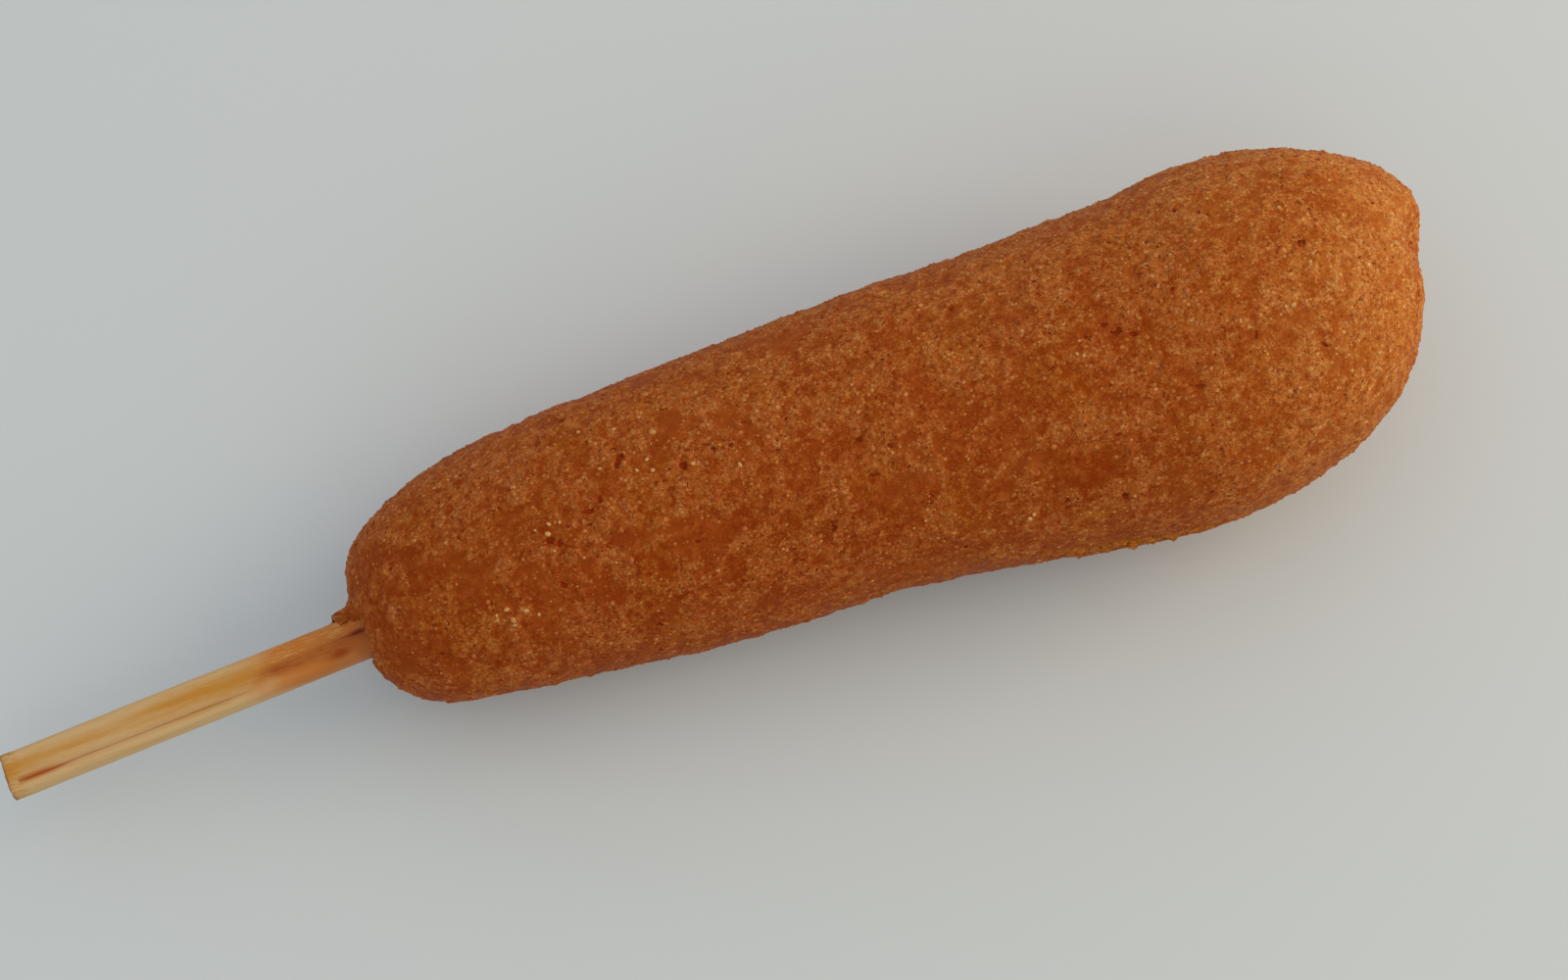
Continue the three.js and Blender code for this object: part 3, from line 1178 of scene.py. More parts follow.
@dataclass
class CrustSkin:
    """The crust's outside: the solid's own form, remeshed and given its fine relief."""

    view: View
    node: str = "crust"
    voxel: float = 0.53 * MM
    settle_passes: int = 8
    rim_passes: int = 2
    pit_cuts: int = 2
    seam_cuts: int = 1
    seed: int = 7
    lump_width: float = 6 * MM
    lump_height: float = 0.16 * MM
    film_height: float = 0.10 * MM
    film_level: float = 0.6
    grain_width: float = 1.3 * MM
    grain_height: float = 0.16 * MM
    bare_grain: float = 0.5
    glaze_smoothness: float = 0.5
    pit_count: int = 120
    pit_length: tuple[float, float] = (0.35 * MM, 0.9 * MM)
    pit_breadth: tuple[float, float] = (0.5, 1.0)
    socket_reach: float = 3.35 * MM
    lobe_reach: float = 6.0 * MM
    lobe_core: float = 5 * MM
    lobe_edge: float = 7 * MM
    lobe_depth: float = 2 * MM
    lobe_grain: float = 1.1 * MM
    lobe_height: float = 0.6 * MM
    lobe_level: float = 0.4
    cling: float = 0.6 * MM
    cling_core: float = 3.6 * MM
    cling_edge: float = 4.6 * MM
    cling_start: float = 3 * MM
    cling_stop: float = 5 * MM
    finish: CrustFinish = field(default_factory=CrustFinish)

    def build(self) -> bpy.types.Object:
        """Makes the skin and stands it for the crust's solid.

        Returns:
            The finished piece.
        """
        piece = Bench.copy_solid(self.node, "crust_skin")
        Bench.modify(piece, "REMESH", mode="VOXEL", voxel_size=self.voxel)
        self._settle(piece)
        hollows = self._hollows(piece)
        self._refine(piece, hollows)
        self._raise_relief(piece, hollows)
        Bench.take(piece)
        bpy.ops.object.shade_smooth()
        piece.data.materials.append(self.finish.build())
        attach(piece, BODY)
        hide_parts(self.node)
        return piece

    def _outside(self, points: np.ndarray) -> np.ndarray:
        """Marks the points that aren't on the wall of the stick's socket."""
        return STICK_LINE.distance(points) > self.socket_reach

    def _settle(self, piece: bpy.types.Object) -> None:
        """Smooths the solid's facets away, less round the stick, and not in the socket.

        Args:
            piece: The skin.
        """
        rounds = ((self.lobe_reach, self.settle_passes), (self.socket_reach, self.rim_passes))
        for reach, passes in rounds:
            Bench.choose(piece, vertices=STICK_LINE.distance(Bench.points(piece)) > reach)
            smooth = partial(bpy.ops.mesh.vertices_smooth, factor=0.5, repeat=passes)
            Bench.edit(piece, smooth)

    def _hollows(self, piece: bpy.types.Object) -> list[Hollow]:
        """Lays the named pits on the skin, and a scatter of small ones.

        Args:
            piece: The skin.

        Returns:
            All the hollows.
        """
        rng = np.random.default_rng(self.seed)
        right = np.array(self.view.right())
        hollows = []
        for pit in PITS:
            place, normal = self.view.spot(piece, pit.column, pit.row)
            turn = math.radians(pit.turn)
            heading = right * math.cos(turn) + np.cross(normal, right) * math.sin(turn)
            size = (self.view.span(pit.length), self.view.span(pit.width))
            hollows.append(Hollow.at(place, normal, heading, size, rng))
        points, normals = Bench.points(piece), Bench.normals(piece)
        outside = np.flatnonzero(self._outside(points))
        for index in rng.choice(outside, self.pit_count, replace=False):
            length = rng.uniform(*self.pit_length)
            size = (length, length * rng.uniform(*self.pit_breadth))
            hollows.append(Hollow.at(points[index], normals[index], rng.normal(size=3), size, rng))
        return hollows

    def _refine(self, piece: bpy.types.Object, hollows: list[Hollow]) -> None:
        """Splits the faces round the hollows and the seam into finer ones.

        Args:
            piece: The skin.
            hollows: The hollows on it.
        """
        middles = Bench.face_middles(piece)
        near = np.zeros(len(middles), bool)
        for hollow in hollows:
            near |= np.linalg.norm(middles - hollow.place, axis=1) < hollow.reach()
        Bench.choose(piece, faces=near)
        Bench.edit(piece, partial(bpy.ops.mesh.subdivide, number_cuts=self.pit_cuts))
        middles = Bench.face_middles(piece)
        on_band = np.abs(SEAM.across(middles)) < SEAM.band
        Bench.choose(piece, faces=on_band & (SEAM.share(middles) > 0))
        Bench.edit(piece, partial(bpy.ops.mesh.subdivide, number_cuts=self.seam_cuts))

    def _raise_relief(self, piece: bpy.types.Object, hollows: list[Hollow]) -> None:
        """Moves the points along their normals and paints what the finish reads.

        Args:
            piece: The skin.
            hollows: The hollows on it.
        """
        points, normals = Bench.points(piece), Bench.normals(piece)
        outside = self._outside(points)
        browning_and_shade = BrowningAndShade.on(piece, self.view)
        glaze = browning_and_shade.glaze(points)
        film = FILM.share(points) * (1 - glaze)
        pit, sink = self._pits(points, hollows)
        tear, seam_height = SEAM.relief(points)
        lumps = self.lump_height * soft_noise(points, self.lump_width, 2, 1)
        grain = self.grain_height * soft_noise(points, self.grain_width, 2, 2)
        height = lumps + self.film_height * (film - self.film_level)
        height += grain * (self.bare_grain + film) * (1 - self.glaze_smoothness * glaze)
        height += seam_height - sink
        for dent in DENTS:
            place, _ = self.view.spot(piece, dent.column, dent.row)
            distance = np.linalg.norm(points - place, axis=1)
            height -= dent.depth * np.exp(-((distance / dent.reach) ** 2))
        height = height * outside + self._lobe_relief(points)
        moved = points + normals * height[:, None] + self._clinging(points)
        low, high = (np.array(corner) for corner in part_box(self.node))
        Bench.move(piece, np.clip(moved, low, high))
        paints = {
            "film": film,
            "glaze": glaze,
            "pit": pit,
            "tear": np.maximum(tear, self._gash(piece, points)),
            "paleness": PALING.share(points),
            # The patches' painted shade and light go into the colour with the browning.
            "browning_and_shade": browning_and_shade.skin_tone(points),
        }
        for name, values in paints.items():
            Bench.paint(piece, name, values)

    def _pits(self, points: np.ndarray, hollows: list[Hollow]) -> tuple[np.ndarray, np.ndarray]:
        """Adds up the hollows.

        Args:
            points: The skin's points.
            hollows: The hollows on it.

        Returns:
            For each point its share of being in a hollow, and how deep it sinks.
        """
        share, sink = np.zeros(len(points)), np.zeros(len(points))
        for hollow in hollows:
            near = np.flatnonzero(np.linalg.norm(points - hollow.place, axis=1) < hollow.reach())
            inside = hollow.share(points[near])
            share[near] = np.maximum(share[near], inside)
            sink[near] = np.maximum(sink[near], smooth_step(inside, 0.3, 0.8) * hollow.depth)
        return share, sink

    def _gash(self, piece: bpy.types.Object, points: np.ndarray) -> np.ndarray:
        """A short strip above the seam where the skin scraped off.

        Args:
            piece: The skin.
            points: Its points.

        Returns:
            For each point its share of being in the strip.
        """
        place, normal = self.view.spot(piece, GASH.column, GASH.row)
        rng = np.random.default_rng(self.seed)
        size = (self.view.span(GASH.length), self.view.span(GASH.width))
        return Hollow.at(place, normal, np.array(self.view.right()), size, rng).share(points)

    def _lobe_relief(self, points: np.ndarray) -> np.ndarray:
        """The relief of the lump of batter on the stick.

        Args:
            points: The skin's points.

        Returns:
            For each point how far it stands out or in.
        """
        inwards = STICK_LINE.along(points) - self._mouth(points)
        lobe = fade(STICK_LINE.distance(points), self.lobe_core, self.lobe_edge)
        lobe *= fade(inwards, 0, self.lobe_depth)
        lumps = soft_noise(points, self.lobe_grain, 3, 9) - self.lobe_level
        return lobe * self.lobe_height * lumps

    def _clinging(self, points: np.ndarray) -> np.ndarray:
        """The way the socket's rim moves in, so that the batter clings to the stick.

        Args:
            points: The skin's points.

        Returns:
            The way that each point moves.
        """
        distance = STICK_LINE.distance(points)
        near = fade(distance, self.cling_core, self.cling_edge)
        inwards = STICK_LINE.along(points) - self._mouth(points)
        outer = fade(inwards, self.cling_start, self.cling_stop)
        share = near * outer * self.cling / np.maximum(distance, MM)
        return -STICK_LINE.offset(points) * share[:, None]

    def _mouth(self, points: np.ndarray) -> float:
        """How far along the stick the crust begins, but for its lobe."""
        return STICK_LINE.along(points)[STICK_LINE.distance(points) > self.lobe_reach].min()


@dataclass(frozen=True)
class StickLine:
    """The line down the middle of the stick, from its cut end towards the crust."""

    end: tuple[float, float, float]
    heading: tuple[float, float, float]

    @classmethod
    def of_node(cls, node: str) -> "StickLine":
        """Finds the line from the stick's solid, through the middles of its two ends.

        Args:
            node: The solid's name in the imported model.

        Returns:
            The line.
        """
        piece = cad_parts[node]
        points = Bench.points(piece)
        first, last = points[:, 0].min(), points[:, 0].max()
        slab = 1.0 * MM
        outer = points[points[:, 0] < first + slab]
        inner = points[points[:, 0] > last - slab]
        start = (outer.min(0) + outer.max(0)) / 2
        stop = (inner.min(0) + inner.max(0)) / 2
        heading = (stop - start) / np.linalg.norm(stop - start)
        return cls(tuple(start), tuple(heading))

    def along(self, points: np.ndarray) -> np.ndarray:
        """How far each point lies from the cut end along the stick."""
        return (points - np.array(self.end)) @ np.array(self.heading)

    def across(self, points: np.ndarray) -> tuple[np.ndarray, np.ndarray]:
        """How far each point lies beside and above the line.

        Args:
            points: One row for each point.

        Returns:
            The distances to the far side, and those upwards.
        """
        offset = points - np.array(self.end)
        heading = np.array(self.heading)
        side = np.cross((0.0, 0.0, 1.0), heading)
        side /= np.linalg.norm(side)
        return offset @ side, offset @ np.cross(heading, side)

    def offset(self, points: np.ndarray) -> np.ndarray:
        """The way from the nearest place on the line to each point."""
        from_end = points - np.array(self.end)
        return from_end - np.outer(from_end @ np.array(self.heading), self.heading)

    def distance(self, points: np.ndarray) -> np.ndarray:
        """How far each point lies from the line."""
        return np.linalg.norm(self.offset(points), axis=1)


@dataclass(frozen=True)
class Seam:
    """The torn seam along the crust's near side, below its widest line."""

    start: float = 31.0 * MM
    stop: float = 53.5 * MM
    height: float = 17.2 * MM
    fall: float = 0.07
    band: float = 2.4 * MM
    gap: float = 0.4 * MM
    near_side: float = -8 * MM
    open_reach: float = 1.3 * MM
    torn_reach: float = 2.1 * MM
    chew_width: float = 0.8 * MM
    wander_width: float = 3 * MM
    wander_reach: float = 0.8 * MM
    crumb_reach: float = 1.3 * MM

    def share(self, points: np.ndarray) -> np.ndarray:
        """How near the middle of the seam's length each point is.

        Args:
            points: One row for each point.

        Returns:
            1 in the middle, 0 past the ends and away from the near side.
        """
        middle, reach = (self.start + self.stop) / 2, (self.stop - self.start) / 2
        along = np.clip(1 - np.abs(points[:, 0] - middle) / reach, 0, 1)
        return np.sqrt(along) * (points[:, 1] < self.near_side)

    def across(self, points: np.ndarray) -> np.ndarray:
        """How far a point lies above the seam's middle line."""
        return points[:, 2] - self.height + (points[:, 0] - self.start) * self.fall

    def relief(self, points: np.ndarray) -> tuple[np.ndarray, np.ndarray]:
        """The tear's open crumb and how rough it is.

        Args:
            points: The skin's points.

        Returns:
            For each point a share from 0 to 1 of open crumb, and a height.
        """
        chewed = soft_noise(points, self.chew_width, 3, 8)
        wander = self.wander_reach * soft_noise(points, self.wander_width, 2, 10)
        off = np.abs(self.across(points) + wander)
        opening = fade(off, self.open_reach, self.torn_reach) * self.share(points)
        return np.clip(opening * (0.9 + chewed), 0, 1), self.gap * opening * (2 * chewed - 0.2)


# ---- Grains -------------------------------------------------------------------------------------


@dataclass(frozen=True)
class Grit:
    """A grain that stands out, by its middle and size in the view's frame, and its tone."""

    column: float
    row: float
    size: float
    tone: float = 0.9


GRITS = (
    Grit(column=517, row=622, size=5),
    Grit(column=537, row=623, size=6),
    Grit(column=507, row=628, size=4),
    Grit(column=515, row=633, size=4, tone=0.6),
    Grit(column=524, row=633, size=8, tone=0.65),
    Grit(column=507, row=633, size=5, tone=0.6),
    Grit(column=525, row=638, size=4),
    Grit(column=550, row=627, size=4),
    Grit(column=560, row=535, size=5, tone=1.0),
    Grit(column=559, row=545, size=6, tone=1.0),
    Grit(column=571, row=533, size=4),
    Grit(column=546, row=541, size=3),
    Grit(column=566, row=562, size=3),
    Grit(column=596, row=569, size=4, tone=0.6),
    Grit(column=590, row=441, size=5, tone=0.8),
    Grit(column=626, row=438, size=5),
    Grit(column=666, row=441, size=8, tone=0.65),
    Grit(column=612, row=478, size=4),
    Grit(column=650, row=480, size=5),
    Grit(column=666, row=480, size=5),
    Grit(column=660, row=469, size=4),
    Grit(column=707, row=473, size=5),
    Grit(column=755, row=474, size=6, tone=1.0),
    Grit(column=1055, row=525, size=5, tone=1.0),
    Grit(column=1051, row=529, size=5, tone=1.0),
    Grit(column=1158, row=506, size=4, tone=1.0),
    Grit(column=1337, row=267, size=5, tone=1.0),
    Grit(column=1301, row=275, size=6, tone=0.9),
    Grit(column=1305, row=212, size=5, tone=0.9),
    Grit(column=1424, row=248, size=8, tone=0.9),
    Grit(column=1431, row=244, size=6, tone=1.0),
    Grit(column=1320, row=311, size=6, tone=0.9),
    Grit(column=1099, row=361, size=4),
    Grit(column=1106, row=363, size=4),
    Grit(column=1103, row=525, size=3, tone=0.5),
    Grit(column=1112, row=523, size=4, tone=0.6),
    Grit(column=1125, row=522, size=4, tone=0.5),
    Grit(column=1137, row=522, size=4, tone=0.6),
    Grit(column=1150, row=521, size=3, tone=0.5),
)


@dataclass
class Grains:
    """Many small grains of one kind, half sunk in a surface and joined into one piece.

    How far a grain sinks and how long, broad and high it is are given in its width.
    """

    name: str
    count: int
    width: tuple[float, float]
    finish: GrainFinish
    seed: int
    weight: Callable[[np.ndarray], np.ndarray]
    skew: float = 1.0
    sink: float = 0.16
    flatness: float = 0.7
    stretch: float = 1.0
    lay: tuple[float, float, float] | None = None
    named: tuple[Grit, ...] = ()
    slot: str = "crust"
    tint: Callable[[np.ndarray], np.ndarray] | None = None
    untinted: float = 0.1
    tone_spread: float = 0.8
    spread: float = 0.15 * MM
    named_scale: float = 1.05
    lengths: tuple[float, float] = (0.9, 1.3)
    breadths: tuple[float, float] = (0.65, 1.0)
    thinnest: float = 0.8
    dents: tuple[float, float] = (0.85, 1.15)
    unevenness: float = 0.1
    straying: float = 0.12

    def build(self, skin: bpy.types.Object, view: View) -> bpy.types.Object:
        """Scatters the grains over a surface.

        Args:
            skin: The finished crust or stick.
            view: Whose frame the named grains are placed in.

        Returns:
            The joined piece.
        """
        rng = np.random.default_rng(self.seed)
        places, normals = self._scatter(skin, rng)
        widths = self.width[0] + (self.width[1] - self.width[0]) * rng.random(self.count) ** self.skew
        tint = self.tint(places) if self.tint else self.untinted
        tones = self.tone_spread * rng.random(self.count) + tint
        for grit in self.named:
            place, normal = view.spot(skin, grit.column, grit.row)
            width = view.span(grit.size) * self.named_scale
            place = place + normal * width * self.sink
            places, normals = np.vstack((places, place)), np.vstack((normals, normal))
            widths, tones = np.append(widths, width), np.append(tones, grit.tone)
        return self._join(places, normals, widths, tones, rng)

    def _scatter(
        self, skin: bpy.types.Object, rng: np.random.Generator
    ) -> tuple[np.ndarray, np.ndarray]:
        """Draws places on the surface's faces, by their area and the weight at their middle.

        Args:
            skin: The surface.
            rng: Draws the faces and the places on them.

        Returns:
            The places and the normals there.
        """
        areas = np.empty(len(skin.data.polygons), np.float32)
        skin.data.polygons.foreach_get("area", areas)
        middles, normals = Bench.face_middles(skin), Bench.face_normals(skin)
        weights = areas * self.weight(middles)
        chosen = rng.choice(len(middles), self.count, p=weights / weights.sum())
        spread = rng.normal(0, self.spread, (self.count, 3))
        spread -= normals[chosen] * (spread * normals[chosen]).sum(1)[:, None]
        return middles[chosen] + spread, normals[chosen]

    def _model(self) -> tuple[np.ndarray, np.ndarray]:
        """Models one grain as a small uneven ball.

        Returns:
            Its vertices, about one unit wide, and its triangles.
        """
        bpy.ops.object.select_all(action="DESELECT")
        bpy.ops.mesh.primitive_ico_sphere_add(subdivisions=1, radius=0.5)
        grain = bpy.context.object
        Bench.choose(grain, vertices=np.ones(len(grain.data.vertices), bool))
        uneven = partial(bpy.ops.transform.vertex_random, offset=self.unevenness, seed=self.seed)
        Bench.edit(grain, uneven)
        points = Bench.points(grain)
        faces = np.array([tuple(face.vertices) for face in grain.data.polygons])
        bpy.data.objects.remove(grain)
        return points, faces

    def _join(
        self,
        places: np.ndarray,
        normals: np.ndarray,
        widths: np.ndarray,
        tones: np.ndarray,
        rng: np.random.Generator,
    ) -> bpy.types.Object:
        """Lays a grain of its own shape at each place and joins them, inside the solids' box.

        Args:
            places: Where the surface is at each grain.
            normals: The surface's normal there.
            widths: The grains' widths.
            tones: Their tones.
            rng: Draws their shapes and turns.

        Returns:
            The joined piece.
        """
        shape, faces = self._model()
        count = len(places)
        heights = (self.flatness * self.thinnest, self.flatness)
        least, most = zip(self.lengths, self.breadths, heights)
        spans = widths[:, None] * rng.uniform(least, most, (count, 3)) * (self.stretch, 1.0, 1.0)
        grown = shape * rng.uniform(*self.dents, (count, len(shape), 1)) * spans[:, None, :]
        centres = places - normals * (widths * self.sink)[:, None]
        turns = self._turns(normals, rng)
        points = np.einsum("nij,nvj->nvi", turns, grown) + centres[:, None, :]
        low, high = (np.array(corner) for corner in CAD_BOX)
        kept = ((points > low) & (points < high)).all(axis=(1, 2))
        points, tones, count = points[kept], tones[kept], int(kept.sum())
        triangles = faces[None, :, :] + (np.arange(count) * len(shape))[:, None, None]
        mesh = bpy.data.meshes.new(self.name)
        mesh.from_pydata(points.reshape(-1, 3).tolist(), [], triangles.reshape(-1, 3).tolist())
        piece = bpy.data.objects.new(self.name, mesh)
        bpy.context.scene.collection.objects.link(piece)
        Bench.paint(piece, "tone", np.repeat(tones, len(shape)))
        Bench.take(piece)
        bpy.ops.object.shade_smooth()
        piece.data.materials.append(self.finish.build())
        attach(piece, BODY)
        return piece

    def _turns(self, normals: np.ndarray, rng: np.random.Generator) -> np.ndarray:
        """Turns that lay each grain flat, its length any way or roughly along one direction.

        Args:
            normals: The surface's normal at each grain.
            rng: Draws the directions.

        Returns:
            A rotation matrix for each grain.
        """
        length = rng.normal(size=normals.shape)
        if self.lay:
            length = np.array(self.lay) + self.straying * length
        length -= normals * (length * normals).sum(1)[:, None]
        length /= np.linalg.norm(length, axis=1)[:, None]
        return np.stack((length, np.cross(normals, length), normals), axis=2)


# ---- The stick ----------------------------------------------------------------------------------


@dataclass(frozen=True)
class Spot:
    """A soft spot on the stick's upper side, by its middle and reach in millimetres."""

    along: float
    across: float
    length: float
    breadth: float
    strength: float = 1.0

    def share(self, along: np.ndarray, across: np.ndarray) -> np.ndarray:
        """Its strength in its middle and less the further out, at each place."""
        ahead, aside = (along - self.along) / self.length, (across - self.across) / self.breadth
        return self.strength * np.exp(-(ahead**2 + aside**2))


@dataclass
class Stick:
    """The wooden stick: the solid's own form, with its grain, and frayed at its cut end.

    The spots and edges of what clings to it and of its painted shade are given in millimetres from its
    cut end.
    """

    node: str = "stick"
    voxel: float = 0.22 * MM
    soak_length: float = 15.0 * MM
    end_length: float = 1.2 * MM
    grain_width: float = 0.8 * MM
    grain_stretch: float = 28.0
    grain_depth: float = 0.06 * MM
    fray_width: float = 0.5 * MM
    fray_stretch: float = 6.0
    fray_length: float = 2.5 * MM
    fray_depth: float = 0.12 * MM
    fray_reach: float = 0.2 * MM
    end_reach: float = 0.3 * MM
    shrink: float = 0.02 * MM
    mouth_inset: float = 1.6 * MM
    soak_start: float = 4 * MM
    soak_wander: float = 2.5 * MM
    soak_width: float = 3 * MM
    lean: float = 0.325
    shift: float = 0.747
    smear_drop: Spot = Spot(along=40.1, across=-1.5, length=1.1, breadth=0.55)
    smear_film: Spot = Spot(along=39.3, across=-1.8, length=1.6, breadth=0.8, strength=0.35)
    smear_edges: tuple[float, float] = (43.4, 44.6)
    batter_drop: Spot = Spot(along=42.6, across=-1.4, length=1.6, breadth=1.2)
    batter_edges: tuple[float, float] = (41.0, 42.6)
    # Painted shade of a crevice in the wood, next to the crust.
    crevice_shade: Spot = Spot(along=42.7, across=0.0, length=0.9, breadth=0.30, strength=1.1)
    crevice_shade_line: Spot = Spot(along=41.2, across=0.0, length=2.0, breadth=0.13, strength=0.5)
    dark_end: tuple[float, float] = (0.2, 0.5)
    finish: WoodFinish = field(default_factory=WoodFinish)

    def build(self) -> bpy.types.Object:
        """Makes the stick and stands it for its solid.

        Returns:
            The finished piece.
        """
        piece = Bench.copy_solid(self.node, "stick_wood")
        Bench.modify(piece, "REMESH", mode="VOXEL", voxel_size=self.voxel)
        Bench.choose(piece, vertices=STICK_LINE.along(Bench.points(piece)) > self.end_length)
        Bench.edit(piece, lambda: bpy.ops.mesh.vertices_smooth(factor=0.5, repeat=3))
        self._carve(piece)
        Bench.take(piece)
        bpy.ops.object.shade_smooth()
        piece.data.materials.append(self.finish.build())
        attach(piece, BODY)
        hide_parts(self.node)
        return piece

    def _carve(self, piece: bpy.types.Object) -> None:
        """Cuts the grain, frays the end and paints what the finish reads.

        Args:
            piece: The stick.
        """
        points, normals = Bench.points(piece), Bench.normals(piece)
        along = STICK_LINE.along(points)
        side, up = STICK_LINE.across(points)
        drawn_out = np.stack((along / self.grain_stretch, side, up), axis=1)
        grain = self.grain_depth * soft_noise(drawn_out, self.grain_width, 3, 11)
        drawn_out = np.stack((along / self.fray_stretch, side, up), axis=1)
        fray = soft_noise(drawn_out, self.fray_width, 3, 12)
        height = grain + self.fray_depth * fray * fade(along, 0, self.fray_length)
        moved = points + normals * (height - self.shrink)[:, None]
        at_end = fade(along, 0, self.end_reach)
        moved += np.outer(at_end * self.fray_reach * np.abs(fray), STICK_LINE.heading)
        low, high = (np.array(corner) for corner in CAD_BOX)
        Bench.move(piece, np.clip(moved, low, high))
        for name, values in self._paints(points, along, side, up).items():
            Bench.paint(piece, name, values)

    def _paints(
        self, points: np.ndarray, along: np.ndarray, side: np.ndarray, up: np.ndarray
    ) -> dict[str, np.ndarray]:
        """What the finish reads at each point.

        Args:
            points: The stick's points.
            along: Their distance from the cut end.
            side: Their distance to the far side of the stick's middle line.
            up: Their distance above it.

        Returns:
            The attributes by name.
        """
        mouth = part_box("crust")[0].x - CAD_BOX[0].x + self.mouth_inset
        to_crust = mouth - along + self.soak_wander * soft_noise(points, self.soak_width, 2, 13)
        along_mm = along / MM
        seen = side / MM + self.lean * up / MM - self.shift
        place, upper = (along_mm, seen), up > 0

        smear = (self.smear_drop.share(*place) + self.smear_film.share(*place)) * upper
        smear += 0.7 * smooth_step(along_mm, *self.smear_edges)
        batter = self.batter_drop.share(*place) * upper
        batter += 0.5 * smooth_step(along_mm, *self.batter_edges)
        # dark: painted shade of a crevice on the upper side, and darker at the cut end.
        dark = (self.crevice_shade.share(*place) + self.crevice_shade_line.share(*place)) * upper
        dark += 0.5 * fade(along_mm, *self.dark_end)
        return {
            "along": along_mm,
            "side": seen,
            "soak": fade(to_crust, self.soak_start, self.soak_length),
            "batter": np.clip(batter, 0, 1),
            "smear": np.clip(smear, 0, 1),
            "dark": np.clip(dark, 0, 1),
        }


# ---- The studio ---------------------------------------------------------------------------------


@dataclass(frozen=True)
class Lamp:
    """A large soft lamp by its place, width, power and colour."""

    name: str
    place: tuple[float, float, float]
    width: float
    power: float
    colour: Colour

    def build(self, target: Sequence[float]) -> None:
        """Makes the lamp.

        Args:
            target: The place that it points at.
        """
        light = bpy.data.lights.new(self.name, "AREA")
        light.size, light.energy, light.color = self.width, self.power, self.colour
        holder = bpy.data.objects.new(self.name, light)
        holder.location = self.place
        towards = Vector(target) - Vector(self.place)
        holder.rotation_euler = towards.to_track_quat("-Z", "Y").to_euler()
        bpy.context.scene.collection.objects.link(holder)


@dataclass(frozen=True)
class Studio:
    """Floor, soft light and camera."""

    view: View
    floor_size: float = 3.0
    floor_colour: Colour = srgb(206, 208, 208)
    floor_roughness: float = 0.8
    sky: Colour = (0.645, 0.70, 0.755)
    key: Lamp = Lamp(
        name="key", place=(0.774, -0.095, 0.45), width=0.6, power=3.6, colour=(1.0, 0.74, 0.40)
    )
    fill: Lamp = Lamp(
        name="fill", place=(0.0, -0.64, 0.65), width=0.6, power=0.4, colour=(0.6, 1.0, 0.6)
    )

    def build(self) -> None:
        """Makes all of it."""
        self._floor()
        self._world()
        self.key.build(self.view.aim)
        self.fill.build(self.view.aim)
        self._camera()
        bpy.context.scene.view_settings.view_transform = "Standard"

    def _floor(self) -> None:
        """A plain pale floor under the object."""
        bpy.ops.object.select_all(action="DESELECT")
        bpy.ops.mesh.primitive_plane_add(size=self.floor_size)
        floor = bpy.context.object
        floor.name = "floor"
        graph = Graph("pale_floor")
        sockets = {"Base Color": (*self.floor_colour, 1.0), "Roughness": self.floor_roughness}
        matt = graph.surface(sockets)
        floor.data.materials.append(matt)

    def _world(self) -> None:
        """Even light from all round."""
        world = bpy.data.worlds.new("soft_sky")
        world.use_nodes = True
        background = world.node_tree.nodes["Background"]
        background.inputs["Color"].default_value = (*self.sky, 1.0)
        bpy.context.scene.world = world

    def _camera(self) -> None:
        """A camera that looks down on the object."""
        camera = bpy.data.objects.new("camera", bpy.data.cameras.new("camera"))
        camera.data.lens = self.view.lens
        camera.data.sensor_width = self.view.sensor
        camera.data.clip_start = 0.01
        camera.location = self.view.place()
        camera.rotation_euler = (-self.view.back()).to_track_quat("-Z", "Y").to_euler()
        bpy.context.scene.collection.objects.link(camera)
        bpy.context.scene.camera = camera


# ---- The whole ----------------------------------------------------------------------------------

STICK_LINE = StickLine.of_node("stick")
SEAM = Seam()
CLEAR_OF_STICK = 3.6 * MM
UNDERSIDE = 0.8 * MM


def on_crust(places: np.ndarray) -> np.ndarray:
    """The same weight all over the crust, but none in the socket or underneath."""
    return (STICK_LINE.distance(places) > CLEAR_OF_STICK) * (places[:, 2] > UNDERSIDE)


def on_seam(places: np.ndarray) -> np.ndarray:
    """More weight the nearer a place is to the seam's middle line."""
    return SEAM.share(places) * np.exp(-((SEAM.across(places) / SEAM.crumb_reach) ** 2))


def at_cut_end(places: np.ndarray) -> np.ndarray:
    """Weight for the stick's upper side next to its cut end.

    Args:
        places: One row for each place.

    Returns:
        A weight for each place.
    """
    along, (_, up) = STICK_LINE.along(places), STICK_LINE.across(places)
    return (up > MM) * fade(along, 1.4 * MM, 2.4 * MM) * smooth_step(along, 0.8 * MM, 1.1 * MM)


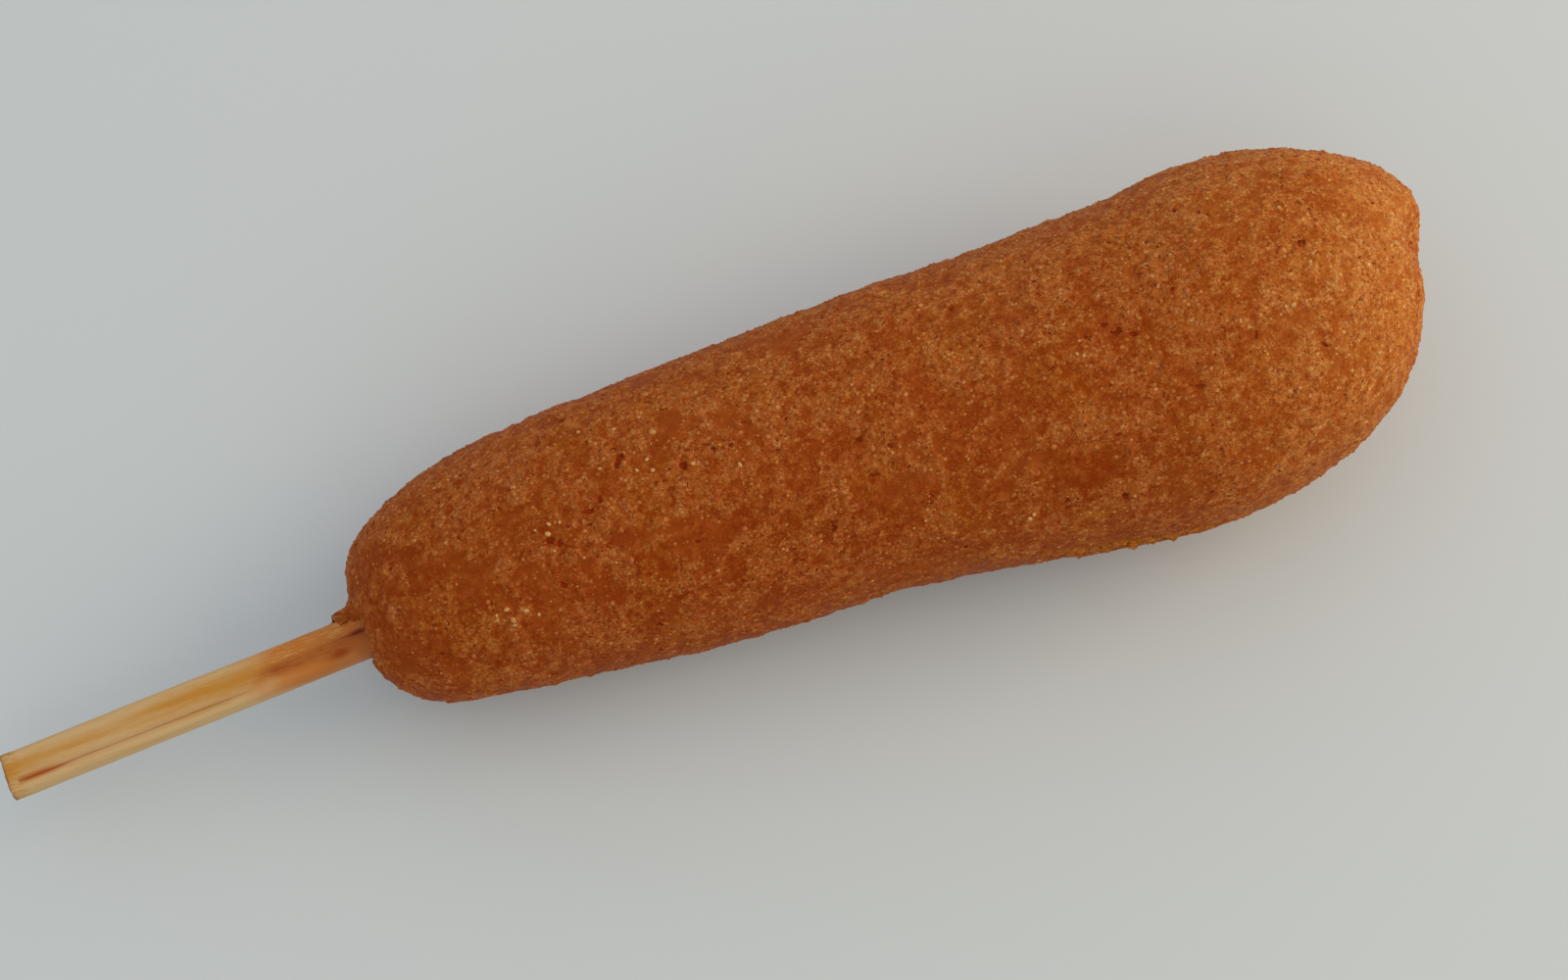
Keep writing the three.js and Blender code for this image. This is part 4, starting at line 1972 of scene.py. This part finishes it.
def grain_kinds(browning_and_shade: BrowningAndShade) -> list[Grains]:
    """The kinds of grain on the crust.

    Args:
        browning_and_shade: Where the crust is lighter, darker or smooth, painted shade and light
            included, which they follow.

    Returns:
        The kinds, coarse ones first.
    """
    def on_film(places: np.ndarray) -> np.ndarray:
        """More weight where grainy skin covers the crust, and little on its smooth patches."""
        return on_crust(places) * (0.3 + FILM.share(places)) * (1 - 0.7 * browning_and_shade.glaze(places))

    grit = GrainFinish(
        "cornmeal_grit", (srgb(172, 92, 40), srgb(194, 124, 60), srgb(210, 158, 94))
    )
    crumb = GrainFinish(
        "batter_crumb", (srgb(151, 65, 19), srgb(171, 89, 37), srgb(198, 120, 65)), roughness=0.6
    )
    torn = GrainFinish(
        "torn_crumb", (srgb(130, 50, 8), srgb(184, 104, 36), srgb(216, 158, 86)), roughness=0.6
    )
    return [
        Grains(
            name="cornmeal_grits", count=1500, width=(0.28 * MM, 0.75 * MM), finish=grit, seed=21,
            weight=on_crust, skew=2.2, sink=0.22, named=GRITS, tint=browning_and_shade.grain_tone,
        ),
        Grains(
            name="batter_crumbs", count=9800, width=(0.22 * MM, 0.72 * MM), finish=crumb, seed=22,
            weight=on_film, skew=1.8, sink=0.13, flatness=0.8, tint=browning_and_shade.grain_tone,
        ),
        Grains(
            name="seam_crumbs", count=700, width=(0.2 * MM, 0.5 * MM), finish=torn, seed=23,
            weight=on_seam, skew=1.5, sink=0.35,
        ),
    ]


def splinters() -> Grains:
    """The torn fibres on the stick's cut end.

    Returns:
        Long thin grains that lie along the stick.
    """
    fibre = GrainFinish(
        "torn_fibre", (srgb(120, 76, 36), srgb(196, 150, 92), srgb(226, 190, 138))
    )
    return Grains(
        name="end_splinters", count=36, width=(0.07 * MM, 0.16 * MM), finish=fibre, seed=24,
        weight=at_cut_end, sink=0.3, stretch=9.0, lay=STICK_LINE.heading, slot="stick",
    )


def main() -> None:
    """Builds the pieces in order and reports each."""
    logging.basicConfig(level=logging.INFO, format="%(message)s")
    view = View()
    skin, stick = CrustSkin(view).build(), Stick().build()
    pieces = [skin, stick, splinters().build(stick, view)]
    pieces += [kind.build(skin, view) for kind in grain_kinds(BrowningAndShade.on(skin, view))]
    for piece in pieces:
        triangles = sum(len(face.vertices) - 2 for face in piece.data.polygons)
        LOG.info("%s: %d triangles", piece.name, triangles)
    Studio(view).build()


if __name__ == "__main__":
    main()
